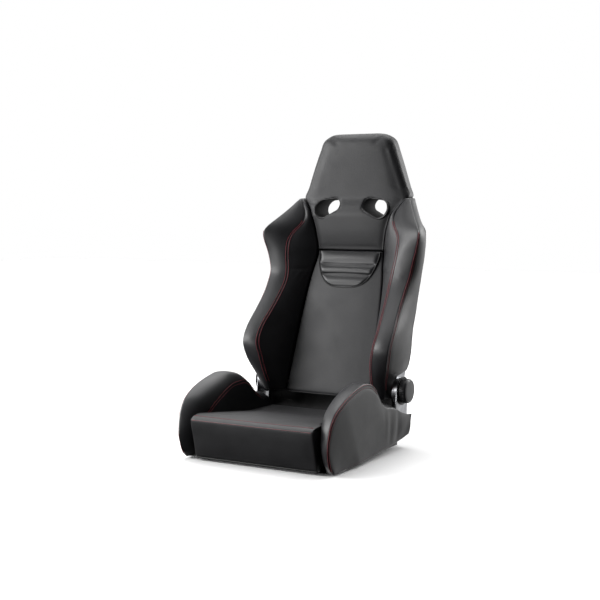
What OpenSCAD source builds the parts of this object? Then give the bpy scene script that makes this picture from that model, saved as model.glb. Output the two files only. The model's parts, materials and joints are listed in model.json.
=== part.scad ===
// Reclining bucket seat: padded base and backrest on a steel frame, with a rotary recliner on each side.
// X is across the seat, -Y is forward, +Z is up. The origin is the centre of the floor bolt pattern.

/* [Base] */
// Half the width of the seat cushion between the side bolsters
cushion_half_w = 173; // [170:0.5:175]
// Half the width of the front panel of the cushion
fascia_half_w = 196; // [192:1:197]
// Front edge of the cushion's top
fascia_y = -283; // [-285:1:-276]
// Height of the cushion's front lip
lip_z = 126; // [120:1:130]
// Height of the cushion at its rear edge
cushion_rear_z = 104; // [98:1:106]
// Rear edge of the cushion
cushion_rear_y = 142; // [130:1:144]
// Half the width over the outer seams of the side bolsters
bolster_half_w = 246; // [244:1:248]
// Highest point of a side bolster
bolster_peak_z = 230; // [222:1:236]
// Rear end of the side covers
base_rear_y = 225; // [222:1:235]

/* [Backrest] */
// Height of the lower edge of the back pad
back_bottom_z = 140; // [138:1:144]
// Front face of the back pad at its lower edge
back_bottom_y = 157; // [157:1:160]
// Lean of the lower back pad from upright
back_lean = 19.8; // [19:0.1:20.5]
// Height of the seam between the back pad and the head panel
seam_z = 574; // [572:1:576]
// Height at which the head is widest
head_low_z = 740; // [738:1:744]
// Height of the upper corners of the head
head_high_z = 907; // [900:1:912]
// Highest point of the head
head_top_z = 937; // [930:1:945]
// Thickness of the front pads
pad_t = 32; // [28:1:33]
// Depth from the front pad's face to the rear panel's outer face
back_depth = 87; // [85:1:92]
// Thickness of the padded rear panel
rear_panel_t = 7; // [5:0.5:8]
// Height of the centres of the harness holes
harness_z = 708; // [704:1:712]
// Distance of the harness holes from the middle
harness_x = 83; // [81:1:85]

/* [Recliner] */
// Distance of the recliner's axis behind the bolt pattern's centre
axis_y = 180; // [178:1:182]
// Height of the recliner's axis
axis_z = 171; // [169:1:173]
// Inner face of the arm plates, from the middle
arm_x = 222.5; // [222:0.5:223]
// Thickness of the steel plates
plate_t = 3.5; // [3:0.5:3.5]
// Radius of the recliner's discs
disc_r = 38; // [36:0.5:38]
// Radius of the bearing between the discs
spigot_r = 30; // [26:1:32]
// Radius of the adjusting dial
dial_r = 36.5; // [34:0.5:38]
// Outer face of the dial, from the middle
dial_face_x = 265; // [262:0.5:268]
// Radius of the drive shaft
shaft_r = 5; // [4:0.5:6]

/* [Frame] */
// Radius of the backrest's tube
tube_r = 12.5; // [11:0.5:12.5]
// Radius of the tubes across the base
cross_r = 12.5; // [11:0.5:13]
// Distance between the floor bolts across the seat
bolt_dx = 380; // [380:1:380]
// Distance between the floor bolts along the seat
bolt_dy = 330; // [300:5:340]
// Radius of the M8 holes
bolt_hole_r = 4.2; // [4.1:0.05:4.5]
// Width of a side rail
rail_w = 36; // [34:1:36]
// Height of a side rail
rail_h = 34; // [32:1:34]
// Wall of a side rail
rail_wall = 2.5; // [2:0.5:3]

/* [Hidden] */
fit = 0.05;          // radial clearance of a running fit
gap = 0.4;           // clearance between neighbouring pieces
eps = 0.01;
skin_x = 227;        // inner face of the wings' side skin beside the frame
rail_x = bolt_dx / 2;
rail_front = -225;
rail_rear = 215;
fork_x = arm_x + plate_t + 10.5;   // inner face of the fixed bracket plates
dial_back_x = 243.5;
lean_dy = (seam_z - back_bottom_z) * tan(back_lean);
seam_y = back_bottom_y + lean_dy;

// ---- helpers ----

function mix(a, b, t) = a + (b - a) * t;

// Point at the share t along an open line of points.
function along(line, t) =
    let (s = t * (len(line) - 1), i = min(floor(s), len(line) - 2))
    mix(line[i], line[i + 1], s - i);

// Corner b of an outline, cut back by d on both sides and rounded in four points.
function soft(a, b, c, d) =
    let (p = b + d * (a - b) / norm(a - b), q = b + d * (c - b) / norm(c - b))
    [for (t = [0 : 1 / 3 : 1]) mix(mix(p, b, t), mix(b, q, t), t)];

// Closed solid through rings of equal length, wound anticlockwise about the way they are stacked.
// The two ends are closed by a ladder across the ring, from its first point to its last.
module loft(rings) {
    n = len(rings[0]);
    m = len(rings);
    sides = [for (j = [0 : m - 2], i = [0 : n - 1])
        let (a = j * n + i, b = j * n + (i + 1) % n)
        each [[a, a + n, b], [b, a + n, b + n]]];
    ladder = [for (i = [0 : n / 2 - 2]) each [[i, i + 1, n - 1 - i], [i + 1, n - 2 - i, n - 1 - i]]];
    top = [for (f = ladder) [for (v = f) v + (m - 1) * n]];
    flip = [for (f = top) [f[2], f[1], f[0]]];
    polyhedron([for (r = rings) each r], concat(sides, ladder, flip));
}

// Tube of radius r through the points of a line that never runs along Y.
module bent_tube(line, r, sides = 12) {
    last = len(line) - 1;
    function way(i) = line[min(i + 1, last)] - line[max(i - 1, 0)];
    function ring(i) =
        let (t = way(i) / norm(way(i)), u = cross([0, 1, 0], t) / norm(cross([0, 1, 0], t)),
            v = cross(t, u))
        [for (k = [0 : sides - 1]) line[i] + r * (cos(360 * k / sides) * u + sin(360 * k / sides) * v)];
    loft([for (i = [0 : last]) ring(i)]);
}

// Flat plate between x and x + t, whose outline is drawn in the Y-Z plane.
module side_plate(x, t) {
    translate([x, 0, 0])
        rotate([90, 0, 90])
            linear_extrude(t) children();
}

// Round piece about the recliner's axis, between x and x + t.
module axle(x, t, r) {
    translate([x, axis_y, axis_z])
        rotate([0, 90, 0])
            cylinder(h = t, r = r, $fn = 96);
}

module left() {
    mirror([1, 0, 0]) children();
}

// ---- shape of the backrest, by height ----

// Front face of the pads in the middle.
function front_y(z) = lookup(z, [[back_bottom_z, back_bottom_y], [seam_z, seam_y],
    [640, seam_y - 4], [680, seam_y - 5], [708, seam_y + 5], [head_low_z, seam_y + 21],
    [head_high_z, seam_y + 30], [head_top_z, seam_y + 38]]);

// Half the width of the centre panels.
function panel_half_w(z) = lookup(z, [[back_bottom_z, 145], [300, 139], [400, 134], [480, 127],
    [560, 115], [580, 114], [620, 119], [660, 129], [700, 148], [726, 168], [head_low_z, 183],
    [head_high_z, 125], [922, 112], [932, 96], [head_top_z, 70]]);

// Edges of a wing: height, outer edge x and y, inner edge x and y, rear edge x and y.
WING = [
    [145, 204, 132, 176, 128, 203, 212],
    [175, 214, 116, 178, 108, 206, 226],
    [214, 219, 96, 180, 90, 209, 236],
    [216, 225, 95, 181, 89, 231, 236],
    [260, 238, 73, 185, 74, 239, 236],
    [300, 246, 67, 194, 69, 242, 235],
    [340, 247, 90, 196, 93, 243, 238],
    [400, 239, 140, 188, 150, 246, 258],
    [450, 235, 185, 182, 194, 249, 272],
    [480, 236, 207, 179, 217, 251, 279],
    [515, 239, 229, 181, 231, 253, 287],
    [570, 252, 231, 189, 241, 258, 294],
    [610, 264, 224, 190, 254, 262, 292],
    [635, 268, 223, 177, 268, 259, 298],
    [665, 245, 253, 153, 289, 236, 313],
    [695, 220, 287, 158, 303, 209, 350],
    [726, 197, 318, 176, 312, 187, 378]];
wing_top_z = 726;
wing_z = [145, 160, 175, 195, 214, 216, 238, 260, 280, 300, 320, 340, 370, 400, 425, 450, 480, 498, 515,
    542, 570, 590, 610, 624, 635, 650, 665, 680, 695, 710, wing_top_z];
function wing_edge(z, column) = lookup(z, [for (row = WING) [row[0], row[column]]]);

// Half the width and the Y of the rear panel's side edges.
function rear_half_w(z) = z <= 726 ? wing_edge(z, 5)
    : lookup(z, [[726, 187], [head_low_z, 182], [head_high_z, 124], [head_top_z, 70]]);
function rear_edge_y(z) = z <= 726 ? wing_edge(z, 6)
    : lookup(z, [[726, 378], [head_low_z, 383], [head_high_z, seam_y + 89]]);
function depth(z) = lookup(z, [[back_bottom_z - 36, back_depth - 12], [200, back_depth],
    [600, back_depth], [680, back_depth - 7], [head_low_z, 76], [head_high_z, 70], [head_top_z, 60]]);

// How sharply the rear panel curls at its sides: a higher power keeps it flat for longer.
function curl(z) = lookup(z, [[216, 12], [340, 12], [450, 6], [664, 6], [head_low_z, 5]]);

// Outer face of the rear panel: flat in the middle and curling forward at the sides.
function rear_y(x, z) =
    let (mid = front_y(z) + depth(z))
    mid - (mid - rear_edge_y(z)) * pow(min(abs(x) / rear_half_w(z), 1), curl(z));

// Inner wall of the hollow that the frame's tube runs in, from the middle.
function hollow_x(z) = lookup(z, [[215, 188], [216, skin_x], [300, skin_x], [345, 206], [385, 191],
    [574, 184], [700, 172], [726, 172]]);

// Path of the frame's tube on one side, from its lower end to the middle of the head.
function tube_y(z) = front_y(z) + pad_t + tube_r + 1;
hoop_side = [for (p = [[210, 221], [210, 270], [208, 300], [188, 345], [172, 385], [168, 420],
    [166, 500], [164, seam_z]]) [p[0], tube_y(p[1]), p[1]]];
hoop_head = [[160, 359, 620], [153, 359, 670], [146, 363, 710], [137, 372, 750], [124, 380, 800],
    [110, 386, 850], [103, 387, 870], [94, 388, 884], [80, 388, 892], [60, 388, 895], [0, 388, 895]];
hoop_half = concat(hoop_side, hoop_head);
function hoop_x(z) = lookup(z, [for (p = hoop_half) [p[2], p[0]]]);

// ---- shape of a bolster, by distance from the middle ----

// Outline of the bolster's outer seam, from its lower front corner over the top to the rear.
bolster_outer = [[-250, 4], [-277, 30], [-291, 80], [-280, 128], [-255, 165], [-190, 198],
    [-130, 216], [-81, bolster_peak_z - 6], [-30, 213], [-5, 198], [14, 175], [38, 148], [60, 139]];
// Outline of its inner seam, above the cushion.
bolster_inner = [[-219, 40], [-219, 75], [-212, 105], [-202, 130], [-180, 155], [-150, 170],
    [-126, 180], [-81, 196], [-37, 200], [-10, 190], [20, 165], [50, 140], [70, 132]];
// Upper edge of the side cover behind the bolster, down to its rear end.
tail_outer = [[130, 124.5], [150, 114], [178, 104.5], [base_rear_y - 2, 95], [base_rear_y - 20, 39]];
// Lower edge of the side cover, from the rear to the front.
hem = [[156, 30], [100, 24], [28, 19], [-100, 9], [-180, 6]];

module loft_bolster() {
    flat = [for (i = [0 : 4]) [128, mix(122, 40, i / 4)]];
    inner_hem = [for (y = [70, 30, -20, -100, -180]) [y, 40]];
    function top(w, lift) = [for (i = [0 : 12])
        mix(bolster_inner[i], bolster_outer[i], w) + [0, i > 1 ? lift : 0]];
    function inside(w, lift, low) = concat(
        [for (i = [0 : 12]) [top(w, lift)[i][0], max(top(w, lift)[i][1], low)]],
        flat, [for (p = inner_hem) [p[0], low]]);
    function outside(w, lift, d) =
        let (line = concat(top(w, lift), tail_outer, hem), mid = [-40, 90])
        [for (p = line) p + d * (mid - p) / norm(mid - p)];
    function skin(w, lift) = concat(top(w, lift), flat,
        [for (p = [[70, 22], [30, 19], [-20, 15], [-100, 9], [-180, 6]]) p]);
    function layer(x, line) = [for (p = line) [x, p[0], p[1]]];
    function even(line) = concat(line, [mix(line[len(line) - 1], line[0], 0.5)]);
    loft([
        layer(176, even(inside(0, -34, 40))),
        layer(184, even(inside(0.04, -4, 40))),
        layer(196, even(inside(0.2, 8, 40))),
        layer(211.5, even(inside(0.5, 12, 40))),
        layer(212, even(skin(0.52, 12))),
        layer(230, even(skin(0.85, 6))),
        layer(240, even(skin(0.96, 2))),
        layer(240.5, even(outside(0.96, 2, 0))),
        layer(bolster_half_w, even(outside(1, 0, 0))),
        layer(bolster_half_w + 4, even(outside(1, 0, 12)))]);
}

// ---- base ----

module rail() {
    difference() {
        translate([rail_x - rail_w / 2, rail_front, 0])
            cube([rail_w, rail_rear - rail_front, rail_h]);
        translate([rail_x - rail_w / 2 + rail_wall, rail_front - 1, rail_wall])
            cube([rail_w - 2 * rail_wall, rail_rear - rail_front + 2, rail_h - 2 * rail_wall]);
        for (y = [-bolt_dy / 2, bolt_dy / 2])
            translate([rail_x, y, -1])
                cylinder(h = rail_wall + 2, r = bolt_hole_r, $fn = 48);
        for (y = bracket_bolt_y)
            translate([rail_x, y, rail_h - rail_wall - 1])
                cylinder(h = rail_wall + 2, r = bolt_hole_r, $fn = 48);
    }
}
bracket_bolt_y = [142, 190];

module base_rail_r() {
    color("dimgray") rail();
}

module base_rail_l() {
    color("dimgray") left() rail();
}

// Round tube across the base, between the rails.
module cross_tube(y, z, half_w, r, wall) {
    translate([-half_w, y, z])
        rotate([0, 90, 0])
            difference() {
                cylinder(h = 2 * half_w, r = r, $fn = 48);
                translate([0, 0, -1])
                    cylinder(h = 2 * half_w + 2, r = r - wall, $fn = 48);
            }
}
cross_half_w = rail_x - rail_w / 2;
cross_z = 20;
front_tube_y = -150;
rear_tube_y = 150;

module front_cross_tube() {
    color("dimgray") cross_tube(front_tube_y, cross_z, cross_half_w, cross_r, 2);
}

module rear_cross_tube() {
    color("dimgray") cross_tube(rear_tube_y, cross_z, cross_half_w, cross_r, 2);
}

// Pressed pan that carries the front of the cushion.
module front_pan() {
    color("dimgray")
        translate([-cross_half_w, 0, 0])
            rotate([90, 0, 90])
                linear_extrude(2 * cross_half_w)
                    polygon([[-212, 36], [-206, 45], [-150, 45], [-140, 36], [-138, 36], [-147, 47],
                        [-208, 47], [-215, 36]]);
}

// Zigzag springs from the front tube to the rear tube.
module seat_springs() {
    wire_r = 1.9;
    wave = 17;
    loops = 9;
    z = cross_z + cross_r + wire_r + gap;
    step = (rear_tube_y - front_tube_y) / loops / 8;
    color("silver")
        for (x = [-105, -35, 35, 105])
            multmatrix([[0, 1, 0, x], [1, 0, 0, front_tube_y], [0, 0, -1, z], [0, 0, 0, 1]])
                rotate([90, 0, 0])
                    bent_tube([for (i = [0 : loops * 8])
                        [i * step, 0, wave * sin(i * 45)]], wire_r, 6);
}

// Cloth that closes the underside between the rails.
module underside_cover() {
    color("black")
        translate([-cross_half_w + 2, -212, 3])
            cube([2 * cross_half_w - 4, 415, 2]);
}

module seat_cushion() {
    side_y = -231.5;
    color("#2b2b2d")
        difference() {
            translate([-fascia_half_w, 0, 0])
                rotate([90, 0, 90])
                    linear_extrude(2 * fascia_half_w)
                        polygon([[-253, 6], [-262, 20], [-271, 62], [fascia_y, 110],
                            [fascia_y + 1, 119], [fascia_y + 10, lip_z], [-240, lip_z + 4],
                            [-205, lip_z + 3], [-120, 118], [20, 104], [cushion_rear_y - 14,
                            cushion_rear_z], [cushion_rear_y, cushion_rear_z - 12],
                            [cushion_rear_y, 52], [-214, 52], [-228, 36], [-228, 6]]);
            for (side = [0, 1])
                mirror([side, 0, 0])
                    translate([cushion_half_w, side_y, 0])
                        cube([60, 400, 200]);
        }
}

module bolster() {
    difference() {
        loft_bolster();
        side_plate(fork_x - gap, plate_t + 2 * gap) bracket_outline(gap);
    }
}

module base_bolster_r() {
    color("#2b2b2d") bolster();
}

module base_bolster_l() {
    color("#2b2b2d") left() bolster();
}

// Plastic retainer along the rear end of a side cover.
module rear_trim() {
    side_plate(241, 8)
        polygon([[base_rear_y - 1.2, 95], [base_rear_y + 3, 95], [base_rear_y - 15, 39],
            [base_rear_y - 19.2, 39]]);
}

module rear_trim_r() {
    color("black") rear_trim();
}

module rear_trim_l() {
    color("black") left() rear_trim();
}

// ---- recliner ----

// Outline of a fixed bracket plate: a disc about the axis on a broad foot.
module bracket_outline(grow) {
    translate([axis_y, axis_z]) circle(r = disc_r + grow, $fn = 96);
    polygon([[axis_y - disc_r - grow, axis_z], [128 - grow, 34 - grow], [208 + grow, 34 - grow],
        [axis_y + disc_r + grow, axis_z]]);
}

module recliner_bracket() {
    difference() {
        union() {
            side_plate(fork_x, plate_t) bracket_outline(0);
            translate([rail_x - 14, 128, rail_h])
                cube([fork_x + plate_t - rail_x + 14, 80, plate_t]);
        }
        axle(fork_x - 1, plate_t + 2, shaft_r + 3);
        for (y = bracket_bolt_y)
            translate([rail_x, y, rail_h - 1])
                cylinder(h = plate_t + 2, r = bolt_hole_r, $fn = 48);
    }
}

module recliner_bracket_r() {
    color("silver") recliner_bracket();
}

module recliner_bracket_l() {
    color("silver") left() recliner_bracket();
}

// Fixed half of the recliner: a cup that the moving half turns in.
module recliner_ring() {
    ring_x = arm_x + plate_t + 4 + gap;
    difference() {
        axle(ring_x, fork_x - ring_x, disc_r);
        axle(ring_x - 1, 1 + 4.2, spigot_r + fit);
        axle(ring_x - 1, 20, 12 + fit);
    }
}

module recliner_ring_r() {
    color("gray") recliner_ring();
}

module recliner_ring_l() {
    color("gray") left() recliner_ring();
}

// Moving half of the recliner: a flange on the arm plate, with a spigot inside the cup.
module recliner_gear() {
    difference() {
        union() {
            axle(arm_x + plate_t, 4, disc_r);
            axle(arm_x + plate_t + 3, 5, spigot_r);
        }
        axle(arm_x + plate_t - 1, 12, 12 + fit);
    }
}

module recliner_gear_r() {
    color("silver") recliner_gear();
}

module recliner_gear_l() {
    color("silver") left() recliner_gear();
}

// Cam bush on the shaft, inside both halves of the recliner.
module recliner_cam() {
    difference() {
        axle(arm_x + plate_t + 0.3, fork_x - arm_x - plate_t - 0.6, 12);
        axle(arm_x, 20, shaft_r);
    }
}

module recliner_cam_r() {
    color("goldenrod") recliner_cam();
}

module recliner_cam_l() {
    color("goldenrod") left() recliner_cam();
}

// Outline of an arm plate: a disc about the axis and an arm up to the frame's tube.
module arm_outline() {
    translate([axis_y, axis_z]) circle(r = disc_r, $fn = 96);
    polygon([[axis_y - 26, axis_z + 20], [axis_y + 16, axis_z - 30], [axis_y + 36, axis_z + 6],
        [tube_y(300) + 2, 300], [tube_y(300) - tube_r, 300]]);
}

module recliner_arm() {
    difference() {
        side_plate(arm_x, plate_t) arm_outline();
        axle(arm_x - 1, plate_t + 2, 12 + 1);
    }
}

module recliner_arm_r() {
    color("silver") recliner_arm();
}

module recliner_arm_l() {
    color("silver") left() recliner_arm();
}

// Plastic cover over the outer face of a bracket plate.
module recliner_cover() {
    difference() {
        axle(fork_x + plate_t + 0.2, 3, disc_r + 4);
        axle(fork_x, 10, shaft_r + 3);
    }
}

module recliner_cover_r() {
    color("black") recliner_cover();
}

module recliner_cover_l() {
    color("black") left() recliner_cover();
}

module dial_knob() {
    color("#242426")
        translate([0, axis_y, axis_z])
            rotate([0, 90, 0])
                difference() {
                    union() {
                        translate([0, 0, dial_back_x])
                            cylinder(h = 16, r1 = dial_r - 2.5, r2 = dial_r, $fn = 96);
                        translate([0, 0, dial_back_x + 16 - eps])
                            cylinder(h = dial_face_x - dial_back_x - 16 - 1, r1 = dial_r,
                                r2 = dial_r - 3, $fn = 96);
                        translate([0, 0, dial_face_x - 1 - 2 * eps])
                            cylinder(h = 1, r1 = dial_r - 6, r2 = dial_r - 12, $fn = 96);
                    }
                    translate([0, 0, dial_back_x - 1])
                        cylinder(h = 15, r = shaft_r, $fn = 48);
                }
}

// Rod that turns both recliners together.
module drive_shaft() {
    color("silver") axle(-fork_x - plate_t, fork_x + plate_t + dial_back_x + 13.5, shaft_r);
}

module bracket_bolts() {
    color("silver")
        for (side = [0, 1], y = bracket_bolt_y)
            mirror([side, 0, 0])
                translate([rail_x, y, 0]) {
                    translate([0, 0, rail_h + plate_t])
                        cylinder(h = 5.3, r = 7.5, $fn = 6);
                    translate([0, 0, rail_h - 12])
                        cylinder(h = 12 + plate_t + 1, r = 4, $fn = 48);
                }
}

module mount_nuts() {
    color("silver")
        for (x = [-rail_x, rail_x], y = [-bolt_dy / 2, bolt_dy / 2])
            translate([x, y, rail_wall])
                difference() {
                    cylinder(h = 6.5, r = 7.5, $fn = 6);
                    translate([0, 0, -1])
                        cylinder(h = 9, r = bolt_hole_r, $fn = 48);
                }
}

// ---- backrest ----

module back_hoop() {
    other = [for (i = [len(hoop_half) - 2 : -1 : 0]) [-hoop_half[i][0], hoop_half[i][1], hoop_half[i][2]]];
    color("dimgray") bent_tube(concat(hoop_half, other), tube_r);
}

module lumbar_cross_tube() {
    z = 250;
    color("dimgray") cross_tube(tube_y(z), z, hoop_x(z) - tube_r, 10, 2);
}

module shoulder_cross_tube() {
    z = 640;
    color("dimgray") cross_tube(361, z, hoop_x(z) - tube_r - 1, 9, 2);
}

// Wires across the frame that carry the back pad.
module back_springs() {
    wire_r = 1.8;
    color("silver")
        for (z = [300, 355, 410, 465, 520])
            translate([-hoop_x(z) + tube_r + gap, tube_y(z) - 4, z])
                rotate([0, 90, 0])
                    cylinder(h = 2 * (hoop_x(z) - tube_r - gap), r = wire_r, $fn = 24);
}

// Groove behind the pads that the drive shaft crosses the backrest in.
module shaft_groove() {
    translate([-240, axis_y - shaft_r - 3, axis_z - shaft_r - 3])
        cube([480, 90, 2 * (shaft_r + 3)]);
}

// Section of a centre panel at a height, with its rear face at a given Y.
function panel_ring(z, rear, w) =
    let (f = front_y(z), n = 9)
    concat([for (i = [0 : n]) let (t = 1 - 2 * i / n) [-w * t, f - 3 * (1 - t * t), z]],
        [for (i = [n : -1 : 0]) let (t = 1 - 2 * i / n) [-w * t, rear, z]]);

module back_pad() {
    color("#333335")
        difference() {
            loft([for (z = [back_bottom_z, 160, 200, 250, 300, 350, 400, 440, 480, 520, 560, seam_z - gap])
                panel_ring(z, front_y(z) + pad_t, panel_half_w(z) - gap)]);
            shaft_groove();
            rib_recess(gap, 16);
        }
}

// Outline of the ribbed pad across the seat and upward, a U with a straight top.
rib_low_z = 462;
function rib_outline(grow) =
    let (w = 106 + grow, low = rib_low_z - grow, top = seam_z - 3 + grow)
    [[-w, top], [-w + 2, top - 30], [-w + 14, top - 60], [-w + 26, low + 18], [-w + 36, low + 5],
        [-w + 52, low], [w - 52, low], [w - 36, low + 5], [w - 26, low + 18], [w - 14, top - 60],
        [w - 2, top - 30], [w, top]];

// Space of the ribbed pad: its outline, run back to a depth behind the leaning face.
module rib_recess(grow, deep) {
    translate([0, front_y(seam_z), seam_z])
        rotate([90 - back_lean, 0, 0])
            translate([0, 0, -deep])
                linear_extrude(deep + 40)
                    polygon([for (p = rib_outline(grow)) [p[0], (p[1] - seam_z) / cos(back_lean)]]);
}

module ribbed_pad() {
    color("#262628")
        translate([0, front_y(seam_z), seam_z])
            rotate([90 - back_lean, 0, 0])
                translate([0, 0, -15])
                    linear_extrude(20)
                        polygon([for (p = rib_outline(0)) [p[0], (p[1] - seam_z) / cos(back_lean)]]);
}

// Outline of a harness hole: wide at its outer lower end, narrower at its inner upper end.
function hole_outline(grow) =
    let (big = [96, harness_z - 2], small = [62, harness_z + 9], tilt = -18)
    [for (a = [0 : 12 : 348])
        let (d = [cos(a), sin(a)], far = (d * [cos(tilt), sin(tilt)] > 0),
            c = far ? big : small, r = (far ? 27 : 20) + grow)
        c + r * d];

module harness_hole(grow, y0, y1) {
    translate([0, y1, 0])
        rotate([90, 0, 0])
            linear_extrude(y1 - y0) polygon(hole_outline(grow));
}

module both_sides() {
    children();
    mirror([1, 0, 0]) children();
}

// Section of the head above the wings, whose rear face follows the rear panel.
function head_ring(z) =
    let (w = panel_half_w(z), clear = rear_panel_t + (z < 745 ? 8 : 2), n = 9)
    concat([for (i = [0 : n]) let (t = 1 - 2 * i / n) [-w * t, front_y(z) - 3 * (1 - t * t), z]],
        [for (i = [n : -1 : 0]) let (t = 1 - 2 * i / n) [-w * t, rear_y(w * t, z) - clear, z]]);

module head_pad() {
    low = [for (z = concat([seam_z + gap], [for (z = wing_z) if (z > seam_z + 10) z], [wing_top_z + gap]))
        panel_ring(z, front_y(z) + pad_t, panel_half_w(z) - 2 * gap)];
    high = [for (z = [wing_top_z + 2, head_low_z, 780, 820, 860, head_high_z, 922, 932, head_top_z])
        head_ring(z)];
    color("#333335")
        difference() {
            loft(concat(low, high));
            translate([0, 500, 0])
                rotate([90, 0, 0])
                    linear_extrude(500 - seam_y - 36)
                        polygon([[-162, 700], [162, 700], [157, 745], [118, 870], [106, 909],
                            [-106, 909], [-118, 870], [-157, 745]]);
            both_sides() harness_hole(3.2, 250, 500);
            both_sides() harness_hole(7.4, 250, bezel_front_y + gap);
        }
}

// Space in a wing for the arm plate.
module arm_pocket() {
    side_plate(arm_x - 1, skin_x - arm_x + 1.3)
        polygon([[axis_y - 34, 205], [axis_y + 40, 205], [tube_y(300) + tube_r + 3, 304],
            [tube_y(300) - tube_r - 3, 304]]);
}

// Section of a wing at a height, from the centre panel's edge around the outside and back.
function wing_ring(z) =
    let (c = [panel_half_w(z) + gap, front_y(z)],
        i = [wing_edge(z, 3), wing_edge(z, 4)],
        o = [wing_edge(z, 1), wing_edge(z, 2)],
        r = [wing_edge(z, 5), min(wing_edge(z, 6), rear_y(wing_edge(z, 5), z)) - rear_panel_t - 1],
        hx = max(min(hollow_x(z), r[0] - 4), c[0] + 3),
        pad_y = front_y(z) + pad_t,
        rear = rear_y(hx, z) - rear_panel_t - 2.5,
        small = min(1, norm(o - i) / 45, norm(o - r) / 60),
        outer = concat([c, mix(c, i, 0.5)], soft(mix(c, i, 0.5), i, o, 11 * small),
            [mix(i, o, 0.5) + [0, -2 * small]], soft(i, o, r, 14 * small),
            [mix(o, r, 0.5) + [3 * small, 0]], soft(o, r, [hx, rear], 5 * small)),
        back = [c + [0, pad_t], [hx - 0.5, pad_y], [hx, pad_y + 0.5], [hx, rear], mix([hx, rear], r, 0.5)])
    [for (p = concat(outer, [for (k = [15 : -1 : 0]) along(back, k / 15)])) [p[0], p[1], z]];

module wing() {
    difference() {
        loft([for (z = wing_z) wing_ring(z)]);
        shaft_groove();
        arm_pocket();
    }
}

module back_wing_r() {
    color("#2b2b2d") wing();
}

module back_wing_l() {
    color("#2b2b2d") left() wing();
}

module rear_panel() {
    steps = 13;
    function ring(z) =
        let (w = z < 150 ? 196 : rear_half_w(z) - 3,
            xs = [for (i = [0 : steps]) w * sin(90 * (2 * i / steps - 1))])
        concat([for (x = xs) [x, rear_y(x, z) - rear_panel_t, z]],
            [for (i = [steps : -1 : 0]) [xs[i], rear_y(xs[i], z), z]]);
    color("#1f1f20")
        difference() {
            loft([for (z = concat([back_bottom_z - 36, 125, 149, 150], [for (z = wing_z) if (z > 150) z],
                [head_low_z, 780, 820, 860, head_high_z, 918])) ring(z)]);
            both_sides() harness_hole(3.2, 250, 500);
            both_sides() harness_hole(7.4, bezel_rear_y - gap, 500);
        }
}

// Bezel of a harness hole: a flange on the cover and a sleeve into the hole.
module bezel(flange_y, sleeve_y0, sleeve_y1) {
    difference() {
        union() {
            harness_hole(7, flange_y, flange_y + 3);
            harness_hole(2.8, sleeve_y0, sleeve_y1);
        }
        harness_hole(0, 250, 500);
    }
}
bezel_front_y = seam_y - 4;
bezel_rear_y = seam_y + 5 + 79;
bezel_joint_y = bezel_front_y + 42;

module harness_bezel_front_r() {
    color("#141415") bezel(bezel_front_y - 3, bezel_front_y - 3, bezel_joint_y - gap);
}

module harness_bezel_front_l() {
    color("#141415") left() bezel(bezel_front_y - 3, bezel_front_y - 3, bezel_joint_y - gap);
}

module harness_bezel_rear_r() {
    color("#141415") bezel(bezel_rear_y, bezel_joint_y, bezel_rear_y + 3);
}

module harness_bezel_rear_l() {
    color("#141415") left() bezel(bezel_rear_y, bezel_joint_y, bezel_rear_y + 3);
}

base_rail_l();
base_rail_r();
front_cross_tube();
rear_cross_tube();
front_pan();
seat_springs();
underside_cover();
seat_cushion();
base_bolster_l();
base_bolster_r();
rear_trim_l();
rear_trim_r();
recliner_bracket_l();
recliner_bracket_r();
recliner_ring_l();
recliner_ring_r();
recliner_cover_l();
recliner_cover_r();
bracket_bolts();
mount_nuts();
back_hoop();
lumbar_cross_tube();
shoulder_cross_tube();
back_springs();
recliner_arm_l();
recliner_arm_r();
recliner_gear_l();
recliner_gear_r();
back_pad();
ribbed_pad();
head_pad();
back_wing_l();
back_wing_r();
rear_panel();
harness_bezel_front_l();
harness_bezel_front_r();
harness_bezel_rear_l();
harness_bezel_rear_r();
dial_knob();
drive_shaft();
recliner_cam_l();
recliner_cam_r();
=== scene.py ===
import json
import math

import bmesh
import bpy
import numpy as np
from mathutils import Matrix, Vector


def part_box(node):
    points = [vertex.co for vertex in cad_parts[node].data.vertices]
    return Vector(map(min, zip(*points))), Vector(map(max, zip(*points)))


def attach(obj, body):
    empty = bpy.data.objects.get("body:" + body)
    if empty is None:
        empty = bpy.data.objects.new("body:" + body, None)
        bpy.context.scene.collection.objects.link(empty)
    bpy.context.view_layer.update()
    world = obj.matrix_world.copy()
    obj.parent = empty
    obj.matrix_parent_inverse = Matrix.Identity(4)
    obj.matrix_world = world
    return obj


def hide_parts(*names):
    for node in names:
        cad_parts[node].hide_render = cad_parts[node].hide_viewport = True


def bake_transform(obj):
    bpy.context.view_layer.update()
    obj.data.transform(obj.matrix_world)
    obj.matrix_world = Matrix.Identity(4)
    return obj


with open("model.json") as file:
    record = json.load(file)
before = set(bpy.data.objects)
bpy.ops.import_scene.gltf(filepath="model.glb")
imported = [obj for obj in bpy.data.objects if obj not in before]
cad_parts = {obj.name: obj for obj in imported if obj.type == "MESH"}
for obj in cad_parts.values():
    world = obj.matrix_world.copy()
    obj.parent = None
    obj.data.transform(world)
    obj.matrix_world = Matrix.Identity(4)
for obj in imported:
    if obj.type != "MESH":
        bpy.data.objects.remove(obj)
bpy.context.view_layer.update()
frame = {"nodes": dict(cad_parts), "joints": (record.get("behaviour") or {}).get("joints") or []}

MM = 0.001

# ---- places taken from the frame, in metres ----

AXIS = Vector(next(j for j in frame["joints"] if j["name"] == "recline")["pos_m"])
PAD_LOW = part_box("back_pad")[0][2]
SEAM_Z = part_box("head_pad")[0][2]
HEAD_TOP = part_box("head_pad")[1][2]
PAD_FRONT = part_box("back_pad")[0][1]
SEAM_Y = PAD_FRONT + (SEAM_Z - PAD_LOW) * math.tan(math.radians(19.8))
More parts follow.
